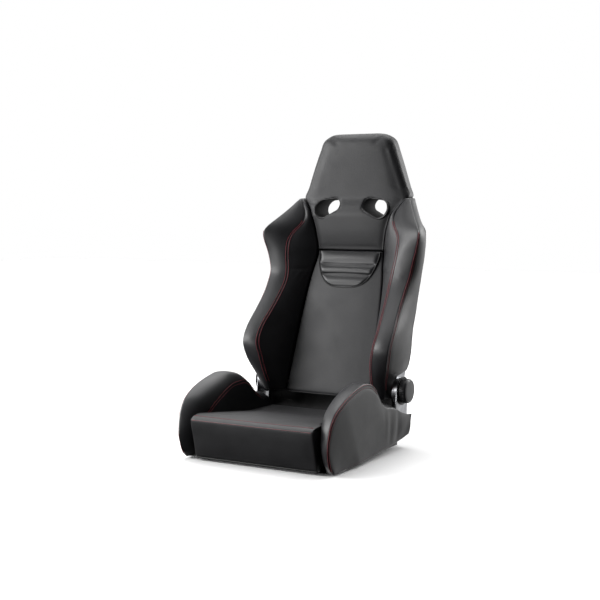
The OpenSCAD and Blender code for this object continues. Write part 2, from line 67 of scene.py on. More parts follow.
# A harness hole's outline: a large arc outside, a small one inside and higher, and how far the pair leans.
HOLE_LARGE_R = 27
HOLE_SMALL_R = 20
HOLE_LARGE_X = 96 * MM
HOLE_SMALL_X = 62 * MM
HOLE_LARGE_DROP = 4 * MM
HOLE_SMALL_RISE = 7 * MM
HOLE_TILT = math.radians(-18)
HARNESS_Z = (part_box("harness_bezel_front_r")[0][2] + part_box("harness_bezel_front_r")[1][2]) / 2


# ---- small mathematics ----

def smooth_table(rows, at):
    """Monotone cubic through a table whose first column is the position, for every other column."""
    rows = np.array(rows, float)
    x, y = rows[:, 0], rows[:, 1:]
    h = np.diff(x)[:, None]
    slope = np.diff(y, axis=0) / h
    tangent = np.zeros_like(y)
    same = slope[1:] * slope[:-1] > 0
    w1, w2 = 2 * h[1:] + h[:-1], h[1:] + 2 * h[:-1]
    with np.errstate(divide="ignore", invalid="ignore"):
        mean = (w1 + w2) / (w1 / slope[:-1] + w2 / slope[1:])
    tangent[1:-1] = np.where(same, mean, 0)
    tangent[0], tangent[-1] = slope[0], slope[-1]
    at = np.clip(np.atleast_1d(at).astype(float), x[0], x[-1])
    k = np.clip(np.searchsorted(x, at, side="right") - 1, 0, len(x) - 2)
    t = ((at - x[k]) / (x[k + 1] - x[k]))[:, None]
    a, b, m, n, d = y[k], y[k + 1], tangent[k], tangent[k + 1], h[k]
    t2, t3 = t * t, t * t * t
    return (2 * t3 - 3 * t2 + 1) * a + (t3 - 2 * t2 + t) * d * m + (3 * t2 - 2 * t3) * b + (t3 - t2) * d * n


def softened(rows, at, reach):
    """The same table with its corners rounded over a reach, as foam and leather round them."""
    offsets = np.linspace(-2, 2, 9)
    weights = np.exp(-offsets ** 2 / 2)
    low, high = rows[0][0], rows[-1][0]
    total = 0
    for o, k in zip(offsets, weights):
        near = np.minimum(reach, np.minimum(at - low, high - at)) * o
        total = total + k * smooth_table(rows, at + near)
    return total / weights.sum()


def ease(t):
    """Smooth step from 0 to 1."""
    t = np.clip(t, 0, 1)
    return t * t * (3 - 2 * t)


def unit(v):
    return v / np.maximum(np.linalg.norm(v, axis=-1, keepdims=True), 1e-12)


def clustered(n, edge):
    """n + 1 shares from 0 to 1 whose first and last steps are the share edge, for fine columns at seams."""
    inner = np.linspace(2.4 * edge, 1 - 2.4 * edge, n - 3)
    return np.concatenate([[0, edge], inner, [1 - edge, 1]])


# ---- mesh helpers ----

def mesh_object(name, verts, faces, smooth=True):
    mesh = bpy.data.meshes.new(name)
    mesh.from_pydata([tuple(v) for v in verts], [], [tuple(int(i) for i in f) for f in faces])
    mesh.update()
    obj = bpy.data.objects.new(name, mesh)
    bpy.context.scene.collection.objects.link(obj)
    if smooth:
        mesh.polygons.foreach_set("use_smooth", [True] * len(mesh.polygons))
    return obj


def outward(obj):
    """Turns a closed mesh's faces outwards."""
    bm = bmesh.new()
    bm.from_mesh(obj.data)
    bmesh.ops.recalc_face_normals(bm, faces=bm.faces)
    bm.to_mesh(obj.data)
    bm.free()


def closed_tube_faces(rows, cols):
    """Quads of a closed ring grid, with an n-gon at each end."""
    j, i = np.meshgrid(np.arange(rows - 1), np.arange(cols), indexing="ij")
    a = j * cols + i
    b = j * cols + (i + 1) % cols
    quads = np.stack([a, b, b + cols, a + cols], -1).reshape(-1, 4)
    ends = [list(range(cols))[::-1], list(range((rows - 1) * cols, rows * cols))]
    return [tuple(q) for q in quads] + ends


def grid_object(name, grid):
    """Closed solid from rows of rings."""
    rows, cols = grid.shape[:2]
    obj = mesh_object(name, grid.reshape(-1, 3), closed_tube_faces(rows, cols))
    outward(obj)
    return obj


def read_points(mesh):
    co = np.empty(len(mesh.vertices) * 3)
    mesh.vertices.foreach_get("co", co)
    return co.reshape(-1, 3)


def write_points(obj, co):
    obj.data.vertices.foreach_set("co", co.ravel())
    obj.data.update()


def read_grid(obj, shape):
    return read_points(obj.data)[: shape[0] * shape[1]].reshape(shape[0], shape[1], 3)


def write_grid(obj, grid):
    co = read_points(obj.data)
    flat = grid.reshape(-1, 3)
    co[: len(flat)] = flat
    write_points(obj, co)


def grid_normals(grid):
    """Outward normals of a ring grid."""
    du = np.roll(grid, -1, 1) - np.roll(grid, 1, 1)
    dv = np.gradient(grid, axis=0)
    n = unit(np.cross(du, dv))
    centre = grid.mean(axis=1, keepdims=True)
    if np.mean(np.sum(n * (grid - centre), -1)) < 0:
        n = -n
    return n


# Frames that a cover is blown up for, and the pressure inside it.
CLOTH_FRAMES = 20
CLOTH_PRESSURE = 4.0


def inflate(obj, free, cap):
    """Puffs a closed cover by cloth simulation.

    Where free is 0 it stays sewn down, and no point moves past cap.
    """
    before = read_points(obj.data)
    group = obj.vertex_groups.new(name="sewn")
    for level in np.unique(np.round(free, 2)):
        ids = np.nonzero(np.round(free, 2) == level)[0]
        group.add([int(i) for i in ids], float(1 - level), "REPLACE")
    cloth = obj.modifiers.new("cover", "CLOTH")
    s = cloth.settings
    s.quality = 5
    s.mass = 0.2
    s.tension_stiffness = 22
    s.compression_stiffness = 22
    s.shear_stiffness = 8
    s.bending_stiffness = 0.6
    s.vertex_group_mass = "sewn"
    s.pin_stiffness = 2
    s.use_pressure = True
    s.uniform_pressure_force = CLOTH_PRESSURE
    s.effector_weights.gravity = 0
    cloth.collision_settings.use_self_collision = False
    scene = bpy.context.scene
    scene.frame_start, scene.frame_end = 1, CLOTH_FRAMES
    cloth.point_cache.frame_start, cloth.point_cache.frame_end = 1, CLOTH_FRAMES
    for f in range(1, CLOTH_FRAMES + 1):
        scene.frame_set(f)
    after = read_points(obj.evaluated_get(bpy.context.evaluated_depsgraph_get()).to_mesh())
    obj.to_mesh_clear()
    obj.modifiers.remove(cloth)
    obj.vertex_groups.remove(group)
    scene.frame_set(1)
    move = after - before
    length = np.linalg.norm(move, axis=1, keepdims=True)
    move *= cap / (cap + length)
    write_points(obj, before + move)


def subdivide(obj):
    m = obj.modifiers.new("smooth", "SUBSURF")
    m.levels = m.render_levels = 1
    m.uv_smooth = "NONE"


def mirrored(points):
    return np.array(points) * np.array([-1, 1, 1])


def mirror_mesh(obj):
    obj.data.transform(Matrix.Scale(-1, 4, (1, 0, 0)))
    outward(obj)


def deselect():
    bpy.ops.object.select_all(action="DESELECT")


def place_in_mesh(obj):
    """Moves an object's place into its mesh, so that the object stands at the origin, unturned."""
    obj.data.transform(obj.matrix_world)
    obj.matrix_world = Matrix.Identity(4)
    obj.data.update()


# ---- seams and thread ----

STITCH_PITCH = 5.2 * MM
STITCH_LENGTH = 4.0 * MM
THREAD_R = 0.62 * MM
THREAD_LIFT = 0.5 * MM
# Distances of the two rows of stitches from a seam, in millimetres.
STITCH_ROWS = (-4.5, 4.5)


def resample(points, pitch):
    d = np.linalg.norm(np.diff(points, axis=0), axis=1)
    s = np.concatenate([[0], np.cumsum(d)])
    n = max(int(s[-1] / pitch), 1)
    at = (np.arange(n) + 0.5) * s[-1] / n
    return np.stack([np.interp(at, s, points[:, k]) for k in range(points.shape[1])], 1)


def offset_line(grid, normals, column, distance, lift):
    """Line that runs beside a seam column on the surface, distance away along the rows, with its normals."""
    rows, cols = grid.shape[:2]
    step = 1 if distance > 0 else -1
    pts, nrm = [], []
    for j in range(rows):
        left, i = abs(distance), column
        for _ in range(cols):
            a, b = grid[j, i % cols], grid[j, (i + step) % cols]
            seg = np.linalg.norm(b - a)
            if seg >= left:
                break
            left -= seg
            i += step
        t = left / max(seg, 1e-9)
        n = normals[j, i % cols] * (1 - t) + normals[j, (i + step) % cols] * t
        n = n / np.linalg.norm(n)
        pts.append(a + (b - a) * t + n * lift)
        nrm.append(n)
    return np.array(pts), np.array(nrm)


def stitches(name, lines, material, body):
    """One mesh of short thread stitches along several lines, each given as points and normals."""
    ring = [(math.cos(a), math.sin(a)) for a in np.linspace(0, 2 * math.pi, 7)[:-1]]
    stations = [(-0.5, 0.35, -0.55), (-0.3, 0.95, 0.15), (0, 1, 0.45), (0.3, 0.95, 0.15), (0.5, 0.35, -0.55)]
    verts, faces = [], []
    for pts, nrm in lines:
        data = resample(np.hstack([pts, nrm]), STITCH_PITCH)
        p, n = data[:, :3], unit(data[:, 3:])
        t = unit(np.gradient(p, axis=0))
        n = unit(n - t * np.sum(n * t, -1, keepdims=True))
        b = np.cross(t, n)
        for k in range(len(p)):
            base = len(verts)
            for along, width, height in stations:
                c = p[k] + t[k] * along * STITCH_LENGTH + n[k] * height * THREAD_R
                for u, v in ring:
                    verts.append(c + (b[k] * u + n[k] * v) * THREAD_R * width)
            for s in range(len(stations) - 1):
                for q in range(6):
                    a0 = base + s * 6 + q
                    a1 = base + s * 6 + (q + 1) % 6
                    faces.append((a0, a1, a1 + 6, a0 + 6))
            faces.append([base + q for q in range(5, -1, -1)])
            last = base + (len(stations) - 1) * 6
            faces.append([last + q for q in range(6)])
    obj = mesh_object(name, verts, faces)
    outward(obj)
    obj.data.materials.append(material)
    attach(obj, body)
    return obj


def cord_along(name, pts, radius, material, body):
    """Round piping along a line of points."""
    t = unit(np.gradient(pts, axis=0))
    ref = np.array([0.0, 1.0, 0.0])
    if np.max(np.abs(t @ ref)) > 0.95:
        ref = np.array([1.0, 0.0, 0.0])
    u = unit(np.cross(t, ref))
    v = np.cross(t, u)
    angles = np.linspace(0, 2 * math.pi, 9)[:-1, None]
    rings = pts[:, None] + radius * (np.cos(angles) * u[:, None] + np.sin(angles) * v[:, None])
    obj = grid_object(name, rings)
    obj.data.materials.append(material)
    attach(obj, body)


# ---- materials ----

def colour(hex_code):
    """sRGB hex to linear RGBA."""
    out = []
    for k in (1, 3, 5):
        c = int(hex_code[k:k + 2], 16) / 255
        out.append(c / 12.92 if c <= 0.04045 else ((c + 0.055) / 1.055) ** 2.4)
    return (*out, 1.0)


def add_node(tree, kind, settings=None, links=None):
    """Adds a node, sets its properties and sockets, and links its inputs."""
    n = tree.nodes.new(kind)
    for key, value in (settings or {}).items():
        if isinstance(key, str) and hasattr(n, key):
            setattr(n, key, value)
        else:
            n.inputs[key].default_value = value
    for key, source in (links or {}).items():
        tree.links.new(source, n.inputs[key])
    return n


def new_material(name):
    m = bpy.data.materials.new(name)
    m.use_nodes = True
    m.node_tree.nodes.clear()
    return m, m.node_tree


def finish_material(tree, settings, links):
    shader = add_node(tree, "ShaderNodeBsdfPrincipled", settings, links)
    add_node(tree, "ShaderNodeOutputMaterial", {}, {"Surface": shader.outputs[0]})


def two_tone(tree, factor, dark, light, first=0.0, last=1.0):
    """Colour that runs from dark to light as a factor runs from first to last."""
    ramp = add_node(tree, "ShaderNodeValToRGB", {}, {"Fac": factor})
    low, high = ramp.color_ramp.elements
    low.position, high.position = first, last
    low.color, high.color = colour(dark), colour(light)
    return ramp.outputs[0]


def leatherette(name, dark, light, rough, rough_span, grain_mm, grain_depth_mm, coat=0.0):
    """Embossed polyurethane leatherette: closed cells of grain, with a soft sheen that varies a little."""
    m, t = new_material(name)
    place = add_node(t, "ShaderNodeTexCoord").outputs["Object"]
    cells = add_node(t, "ShaderNodeTexVoronoi", {"feature": "SMOOTH_F1", "Scale": 1 / (grain_mm * MM),
                     "Smoothness": 0.6}, {"Vector": place})
    fine = add_node(t, "ShaderNodeTexNoise", {"Scale": 2.2 / (grain_mm * MM), "Detail": 3.0},
                    {"Vector": place})
    broad = add_node(t, "ShaderNodeTexNoise", {"Scale": 14.0, "Detail": 3.0, "Roughness": 0.55},
                     {"Vector": place})
    height = add_node(t, "ShaderNodeMath", {"operation": "MULTIPLY_ADD", 1: 0.35},
                      {0: fine.outputs[0], 2: cells.outputs["Distance"]})
    bump = add_node(t, "ShaderNodeBump", {"Strength": 0.55, "Distance": grain_depth_mm * MM},
                    {"Height": height.outputs[0]})
    mix_in = add_node(t, "ShaderNodeMath", {"operation": "MULTIPLY_ADD", 1: 0.5},
                      {0: cells.outputs["Distance"], 2: broad.outputs[0]})
    face = two_tone(t, mix_in.outputs[0], dark, light, 0.35, 0.9)
    gloss = add_node(t, "ShaderNodeMapRange", {"From Min": 0.3, "From Max": 0.75, "To Min": rough,
                     "To Max": rough + rough_span}, {"Value": broad.outputs[0]})
    finish_material(t, {"IOR": 1.5, "Coat Weight": coat, "Coat Roughness": 0.3},
                    {"Base Color": face, "Roughness": gloss.outputs[0], "Normal": bump.outputs[0]})
    return m


def moulded_plastic(name, dark, light, rough, grain_mm, depth_mm):
    """Injection moulded ABS with a fine spark-eroded texture."""
    m, t = new_material(name)
    place = add_node(t, "ShaderNodeTexCoord").outputs["Object"]
    grain = add_node(t, "ShaderNodeTexNoise", {"Scale": 1 / (grain_mm * MM), "Detail": 4.0},
                     {"Vector": place})
    broad = add_node(t, "ShaderNodeTexNoise", {"Scale": 30.0, "Detail": 2.0}, {"Vector": place})
    bump = add_node(t, "ShaderNodeBump", {"Strength": 0.4, "Distance": depth_mm * MM},
                    {"Height": grain.outputs[0]})
    face = two_tone(t, broad.outputs[0], dark, light)
    gloss = add_node(t, "ShaderNodeMapRange", {"To Min": rough - 0.05, "To Max": rough + 0.08},
                     {"Value": grain.outputs[0]})
    finish_material(t, {"IOR": 1.49}, {"Base Color": face, "Roughness": gloss.outputs[0],
                    "Normal": bump.outputs[0]})
    return m


def metal(name, dark, light, rough, grain_mm, depth_mm, metallic=1.0, coat=0.0):
    """Steel with a plated, drawn or painted face, told apart by its colours and roughness."""
    m, t = new_material(name)
    place = add_node(t, "ShaderNodeTexCoord").outputs["Object"]
    grain = add_node(t, "ShaderNodeTexNoise", {"Scale": 1 / (grain_mm * MM), "Detail": 3.0},
                     {"Vector": place})
    broad = add_node(t, "ShaderNodeTexNoise", {"Scale": 45.0, "Detail": 4.0}, {"Vector": place})
    bump = add_node(t, "ShaderNodeBump", {"Strength": 0.3, "Distance": depth_mm * MM},
                    {"Height": grain.outputs[0]})
    face = two_tone(t, broad.outputs[0], dark, light, 0.3, 0.7)
    gloss = add_node(t, "ShaderNodeMapRange", {"To Min": rough - 0.08, "To Max": rough + 0.12},
                     {"Value": broad.outputs[0]})
    finish_material(t, {"Metallic": metallic, "Coat Weight": coat}, {"Base Color": face,
                    "Roughness": gloss.outputs[0], "Normal": bump.outputs[0]})
    return m


def woven_cloth(name, dark, light, thread_mm):
    """Black polyester backing cloth: crossed threads with a dry, slightly fuzzy face."""
    m, t = new_material(name)
    place = add_node(t, "ShaderNodeTexCoord").outputs["Object"]
    scale = 1 / (thread_mm * MM) / 3.2
    warp = add_node(t, "ShaderNodeTexWave", {"bands_direction": "X", "Scale": scale, "Distortion": 0.4},
                    {"Vector": place})
    weft = add_node(t, "ShaderNodeTexWave", {"bands_direction": "Z", "Scale": scale, "Distortion": 0.4},
                    {"Vector": place})
    both = add_node(t, "ShaderNodeMath", {"operation": "MAXIMUM"},
                    {0: warp.outputs["Fac"], 1: weft.outputs["Fac"]})
    bump = add_node(t, "ShaderNodeBump", {"Strength": 0.6, "Distance": 0.25 * MM},
                    {"Height": both.outputs[0]})
    face = two_tone(t, both.outputs[0], dark, light)
    finish_material(t, {"Roughness": 0.85, "Sheen Weight": 0.25, "Sheen Roughness": 0.5},
                    {"Base Color": face, "Normal": bump.outputs[0]})
    return m


def thread(name, dark, light):
    """Bonded nylon thread: two plies twisted, with a dull sheen."""
    m, t = new_material(name)
    place = add_node(t, "ShaderNodeTexCoord").outputs["Object"]
    ply = add_node(t, "ShaderNodeTexNoise", {"Scale": 900.0, "Detail": 2.0}, {"Vector": place})
    face = two_tone(t, ply.outputs[0], dark, light)
    finish_material(t, {"Roughness": 0.6, "Sheen Weight": 0.2}, {"Base Color": face})
    return m


# Leatherette grain is really about 1 mm across; it is drawn near 2.5 mm so that it shows.
# Wings and bolsters: near black with a satin sheen that draws out their curves.
BOLSTER = leatherette("satin_leatherette", "#121214", "#1d1d20", 0.40, 0.12, 2.4, 0.30)
# Cushion, back and head panels: a little greyer and duller, so that they read as flat middles.
PANEL = leatherette("matte_leatherette", "#1a1a1c", "#262628", 0.50, 0.10, 2.0, 0.35)
# Ribbed pad: smoother, so that each rib carries a highlight.
GLOSS = leatherette("smooth_leatherette", "#101012", "#17171a", 0.36, 0.10, 3.0, 0.08, coat=0.1)
# Stitches: a thin dull red line beside the seams, the seat's only colour.
THREAD = thread("red_nylon_thread", "#74242d", "#9a3c46")
# Pipings and hems: a black line where two covers meet.
PIPING = leatherette("piping_leatherette", "#08080a", "#0e0e10", 0.55, 0.08, 1.5, 0.1)
# Caps, trims and bezel lips: black with a soft highlight on their edges.
PLASTIC = moulded_plastic("moulded_abs", "#0d0d0f", "#141416", 0.42, 0.9, 0.06)
# Inside of the harness holes: painted shade, a dead black darker than the lip's own plastic, standing in for
# the shadow deep in the holes so that they read as deep.
PAINTED_SHADE_SLEEVE = moulded_plastic("sleeve_abs_painted_shade", "#010102", "#020203", 0.92, 0.9, 0.06)
# Dial: dark grey, lighter than the leather round it.
DIAL = moulded_plastic("dial_abs", "#2a2a2c", "#343436", 0.36, 0.8, 0.05)
# Recliner plates, bolts and shaft: the bare metal glimpsed at the hinge.
ZINC = metal("zinc_plated_steel", "#8c8d90", "#b9babd", 0.34, 1.2, 0.03)
# Springs: dark oiled wire.
WIRE = metal("spring_wire", "#3c3c3e", "#5a5a5c", 0.38, 1.5, 0.03)
# Frame: satin black paint over steel.
PAINTED = metal("satin_black_steel", "#0b0b0c", "#121213", 0.42, 2.0, 0.06, metallic=0.0, coat=0.1)
# Back and underside: dry black weave with no highlight.
CLOTH = woven_cloth("backing_cloth", "#0a0a0b", "#161617", 1.6)


def paint_node(name, material):
    obj = frame["nodes"][name]
    obj.data.materials.clear()
    obj.data.materials.append(material)


# ---- outline of the backrest, in millimetres by height ----

def front_y(z):
    """Front face of the centre pads in the middle, in millimetres."""
    sy, low = SEAM_Y / MM, PAD_FRONT / MM
    rows = [[PAD_LOW / MM, low], [250, low + 0.36 * 110], [400, low + 0.36 * 260], [520, low + 0.36 * 380],
            [SEAM_Z / MM, sy], [640, sy - 4], [680, sy - 4], [708, sy + 6], [740, sy + 21], [820, sy + 25],
            [907, sy + 30], [HEAD_TOP / MM, sy + 37]]
    return smooth_table(rows, z)[:, 0]


def panel_half_w(z):
    """Half the width of the centre panels, seam to seam."""
    rows = [[140, 145], [300, 139], [400, 134], [480, 127], [560, 115], [580, 114], [620, 119], [660, 129],
            [690, 141], [715, 158], [738, 183]]
    return smooth_table(rows, z)[:, 0]


# Height, then x and y of the band's outer seam, its inner seam, and the rear seam.
WING = [
    [145, 204, 132, 176, 128, 201, 214],
    [175, 213, 116, 178, 108, 205, 228],
    [205, 219, 99, 180, 92, 212, 236],
    [228, 229, 87, 182, 83, 229, 238],
    [260, 238, 73, 185, 74, 238, 238],
    [300, 246, 67, 194, 69, 242, 238],
    [340, 247, 90, 196, 93, 243, 242],
    [400, 239, 140, 188, 150, 246, 260],
    [450, 235, 185, 182, 194, 249, 272],
    [480, 236, 207, 179, 217, 251, 279],
    [515, 239, 229, 181, 231, 253, 287],
    [570, 252, 231, 189, 241, 258, 294],
    [610, 264, 224, 190, 254, 262, 292],
    [635, 268, 223, 177, 268, 259, 298],
    [665, 245, 253, 153, 290, 236, 315],
    [695, 220, 287, 156, 304, 212, 348],
    [726, 197, 318, 176, 314, 190, 376],
    [738, 189, 332, 184, 328, 184, 384]]


def side_bulge(a, b, shares, depth):
    """Points from a to b in plan, bowed outwards by depth."""
    d = b - a
    n = unit(np.stack([d[..., 1], -d[..., 0]], -1))
    t = shares[None, :, None]
    return a[:, None] + d[:, None] * t + n[:, None] * (depth * np.sin(np.pi * t))


WING_COLS = {"inner": 16, "band": 9, "side": 15, "rear": 5, "hidden": 7}


def wing_grid():
    """Right wing as rings by height. Returns the grid in metres and the columns of its seams."""
    z = np.concatenate([np.linspace(146, 620, 92), np.linspace(624, 737, 26)])
    w = softened(WING, z, 13)
    tight = smooth_table(WING, z)
    w[:, 4:6] = np.where(z[:, None] < 232, tight[:, 4:6], w[:, 4:6])
    o, i, r = w[:, 0:2], w[:, 2:4], w[:, 4:6]
    c = np.stack([panel_half_w(z) + 0.6, front_y(z) + 0.5], -1)
    # The inner face dips towards the panel seam below the shoulders.
    inner = side_bulge(c, i, clustered(WING_COLS["inner"], 0.03), 5)
    band = side_bulge(i, o, clustered(WING_COLS["band"], 0.06), 4.5)
    narrow = np.linalg.norm(o - i, axis=1)[:, None, None]
    side = side_bulge(o, r, clustered(WING_COLS["side"], 0.03), 6)
    rear_in = np.stack([r[:, 0] - 26 * np.minimum(1, narrow[:, 0, 0] / 40), r[:, 1] + 10], -1)
    rear = side_bulge(r, rear_in, np.linspace(0, 1, WING_COLS["rear"] + 1), 1.5)
    back = np.stack([c[:, 0] + 2, c[:, 1] + 30], -1)
    hidden = side_bulge(rear_in, back, np.linspace(0, 1, WING_COLS["hidden"] + 1), 0)
    plan = np.concatenate([inner, band[:, 1:], side[:, 1:], rear[:, 1:], hidden[:, 1:]], axis=1)
    height = np.repeat(z[:, None], plan.shape[1], axis=1)
    grid = np.dstack([plan, height]) * MM
    a = WING_COLS["inner"]
    b = a + WING_COLS["band"]
    d = b + WING_COLS["side"]
    return grid, {"panel": 0, "inner": a, "outer": b, "rear": d}


def groove(grid, normals, column, depth, rows=None):
    rows = np.arange(grid.shape[0]) if rows is None else rows
    grid[rows, column] -= normals[rows, column] * depth


def sewn(shape, columns, soft_rows=3):
    """Freedom of each point: 0 on seam columns and end rows, rising to 1 between them."""
    rows, cols = shape
    near = np.full(cols, 99)
    for c in columns:
        near = np.minimum(near, np.abs(np.arange(cols) - c))
    across = np.clip(near / 4.0, 0, 1)
    j = np.minimum(np.arange(rows), rows - 1 - np.arange(rows))
    along = np.clip(j / soft_rows, 0, 1)
    return (along[:, None] * across[None, :]).reshape(-1)


def make_wing(side):
    grid, seam = wing_grid()
    name = "wing_r" if side > 0 else "wing_l"
    if side < 0:
        grid = mirrored(grid)
    z = grid[:, 0, 2] / MM
    n = grid_normals(grid)
    # Crosswise seam on the inner face at the waist, with gathers below it.
    cols = np.arange(grid.shape[1])
    on_inner = np.clip(np.sin(np.pi * np.clip(cols / seam["inner"], 0, 1)), 0, 1) * (cols < seam["inner"])
    waist = np.exp(-((z - 516) / 4.0) ** 2)[:, None]
    grid -= n * (waist * on_inner[None, :] * 2.2 * MM)[..., None]
    below = np.exp(-((z - 498) / 14.0) ** 2)[:, None]
    gathers = np.sin(1.5 * cols[None, :] + 0.16 * z[:, None]) * below * on_inner[None, :]
    grid -= n * (gathers * 0.8 * MM)[..., None]
    obj = grid_object(name, grid)
    hidden = list(range(seam["rear"] + 1, grid.shape[1]))
    inflate(obj, sewn(grid.shape[:2], [0, seam["inner"], seam["outer"] + 2, seam["rear"], *hidden,
            grid.shape[1]]), 6 * MM)
    grid = read_grid(obj, grid.shape).copy()
    n = grid_normals(grid)
    groove(grid, n, seam["inner"], 2.0 * MM)
    groove(grid, n, seam["outer"] + 2, 2.6 * MM)
    groove(grid, n, 0, 3.0 * MM)
    write_grid(obj, grid)
    subdivide(obj)
    obj.data.materials.append(BOLSTER)
    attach(obj, "backrest")
    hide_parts("back_wing_r" if side > 0 else "back_wing_l")
    n = grid_normals(grid)
    low = 6
    lines = []
    for column, top_z in ((seam["inner"], 668), (seam["outer"] + 2, 634)):
        top = int(np.searchsorted(z, top_z))
        for d in STITCH_ROWS:
            line, nrm = offset_line(grid, n, column, d * MM, THREAD_LIFT)
            lines.append((line[low:top], nrm[low:top]))
    stitches(name + "_thread", lines, THREAD, "backrest")


# ---- centre pads of the backrest ----

def pad_rows(z, half_w, crown, wrap):
    """Rings of a centre pad: front face with a crown, and edges that turn back by wrap."""
    shares = clustered(26, 0.02)
    x = (2 * shares - 1)[None, :] * half_w[:, None]
    y = front_y(z)[:, None] - crown * (1 - np.abs(2 * shares - 1)[None, :] ** 2.5)
    front = np.dstack([x, y, np.repeat(z[:, None], len(shares), 1)])
    edge_y = front_y(z)[:, None]
    right = np.dstack([half_w[:, None] - np.array([[0.3, 1.5]]), edge_y + np.array([[wrap * 0.5, wrap]]),
                       np.repeat(z[:, None], 2, 1)])
    left = right[:, ::-1].copy()
    left[..., 0] *= -1
    back_x = (2 * np.linspace(0.95, 0.05, 7) - 1)[None, :] * half_w[:, None]
    back = np.dstack([back_x, np.repeat(edge_y + wrap, 7, 1), np.repeat(z[:, None], 7, 1)])
    return np.concatenate([front, right, back, left], axis=1) * MM, len(shares) - 1


def make_back_pad():
    z = np.concatenate([np.linspace(141, 152, 6), np.linspace(158, SEAM_Z / MM - 6, 66),
                        [SEAM_Z / MM - 3.2, SEAM_Z / MM - 1]])
    grid, last = pad_rows(z, panel_half_w(z) - 0.4, 5, 30)
    # The lower edge rolls back to its piping.
    roll = np.clip((154 - z) / 13, 0, 1)[:, None]
    grid[..., 1] += (roll ** 2) * 9 * MM
    obj = grid_object("back_pad_cover", grid)
    hidden = list(range(last + 1, grid.shape[1]))
    inflate(obj, sewn(grid.shape[:2], [0, last, *hidden], 5), 7 * MM)
    grid = read_grid(obj, grid.shape).copy()
    n = grid_normals(grid)
    groove(grid, n, 0, 2 * MM)
    groove(grid, n, last, 2 * MM)
    grid[-1, :, 1] += 2.5 * MM
    write_grid(obj, grid)
    subdivide(obj)
    obj.data.materials.append(PANEL)
    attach(obj, "backrest")
    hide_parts("back_pad")
    edge = grid[2, 1:last, :] + np.array([0, -0.4, -1.5]) * MM
    cord_along("back_pad_piping", edge, 1.5 * MM, BOLSTER, "backrest")


def rib_outline():
    """The ribbed pad's outline in x and height, in millimetres: straight top and a rounded U below."""
    top, low = SEAM_Z / MM - 2, 462
    pts = []
    for k in np.linspace(0, 1, 60):
        # A superellipse gives the straight sides and the flat bottom with full corners.
        a = math.pi / 2 * k
        x = 105 * math.cos(a) ** 0.62 if k < 1 else 0
        h = top - (top - low) * math.sin(a) ** 1.15
        pts.append((x, h))
    right = np.array(pts)
    left = right[::-1][1:] * [-1, 1]
    return np.concatenate([right, left])


# Heights of the creases between the ribs, in millimetres.
RIB_CREASES = (501, 532)


def make_ribbed_pad():
    """Glossy pad with soft crosswise ribs, let into the back pad."""
    outline = rib_outline()
    rows = 70
    top, low = outline[:, 1].max(), outline[:, 1].min()
    h = np.linspace(low + 0.4, top, rows)
    right = outline[outline[:, 0] >= 0]
    order = np.argsort(right[:, 1])
    w = np.interp(h, right[order, 1], right[order, 0])
    creases = np.array([low - 1, *RIB_CREASES, top + 1])
    shares = (1 - np.cos(np.linspace(0, np.pi, 33))) / 2
    grid = []
    for k, z in enumerate(h):
        j = np.searchsorted(creases, z) - 1
        t = (z - creases[j]) / (creases[j + 1] - creases[j])
        rib = 7.5 * (np.sin(np.pi * t) ** 0.7) - 2.0
        x = (2 * shares - 1) * w[k]
        edge = np.clip((1 - np.abs(2 * shares - 1)) * w[k] / 13, 0, 1)
        lift = rib * ease(edge) ** 0.6 * (1 if low + 3 < z < top - 3 else 0.5)
        bow = 2.2 * (x / 100) ** 2 * np.sin(np.pi * t)
        y = front_y([z])[0] - 5 - lift
        front = np.stack([x, y, np.full_like(x, z) - bow], -1)
        back = np.stack([x[::-1] * 0.98, np.full_like(x, front_y([z])[0] + 3), np.full_like(x, z)], -1)
        grid.append(np.concatenate([front, back]))
    grid = np.array(grid) * MM
    obj = grid_object("ribbed_pad_cover", grid)
    cols = grid.shape[1]
    crease_rows = [int(np.argmin(np.abs(h - c))) for c in RIB_CREASES]
    free = sewn(grid.shape[:2], [0, 32, *range(33, cols)], 3).reshape(grid.shape[:2])
    for r in crease_rows:
        for d in range(-3, 4):
            free[r + d] *= min(1, abs(d) / 3)
    inflate(obj, free.reshape(-1), 4 * MM)
    subdivide(obj)
    obj.data.materials.append(GLOSS)
    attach(obj, "backrest")
    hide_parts("ribbed_pad")
    rim = np.array([[x, front_y([z])[0] - 5.5, z] for x, z in outline]) * MM
    cord_along("ribbed_pad_piping", rim, 2.2 * MM, PIPING, "backrest")


def head_section(z):
    """Half width, front y and rear y of the head panel's padding by height, in millimetres."""
    w = smooth_table([[560, 115], [580, 114], [620, 119], [660, 129], [690, 141], [715, 158], [735, 181],
                      [742, 184], [770, 173.5], [830, 153], [890, 131], [908, 124], [920, 116], [929, 104],
                      [935, 88], [937, 70]], z)[:, 0]
    f = front_y(z)
    deep = smooth_table([[560, 30], [722, 30], [735, 45], [742, 58], [820, 61], [907, 62],
                         [937, 50]], z)[:, 0]
    t = np.clip((z - 912) / (HEAD_TOP / MM - 912), 0, 1)
    inset = 20 * (1 - np.sqrt(1 - t ** 2 * 0.998))
    return w, f + inset, f + deep - inset


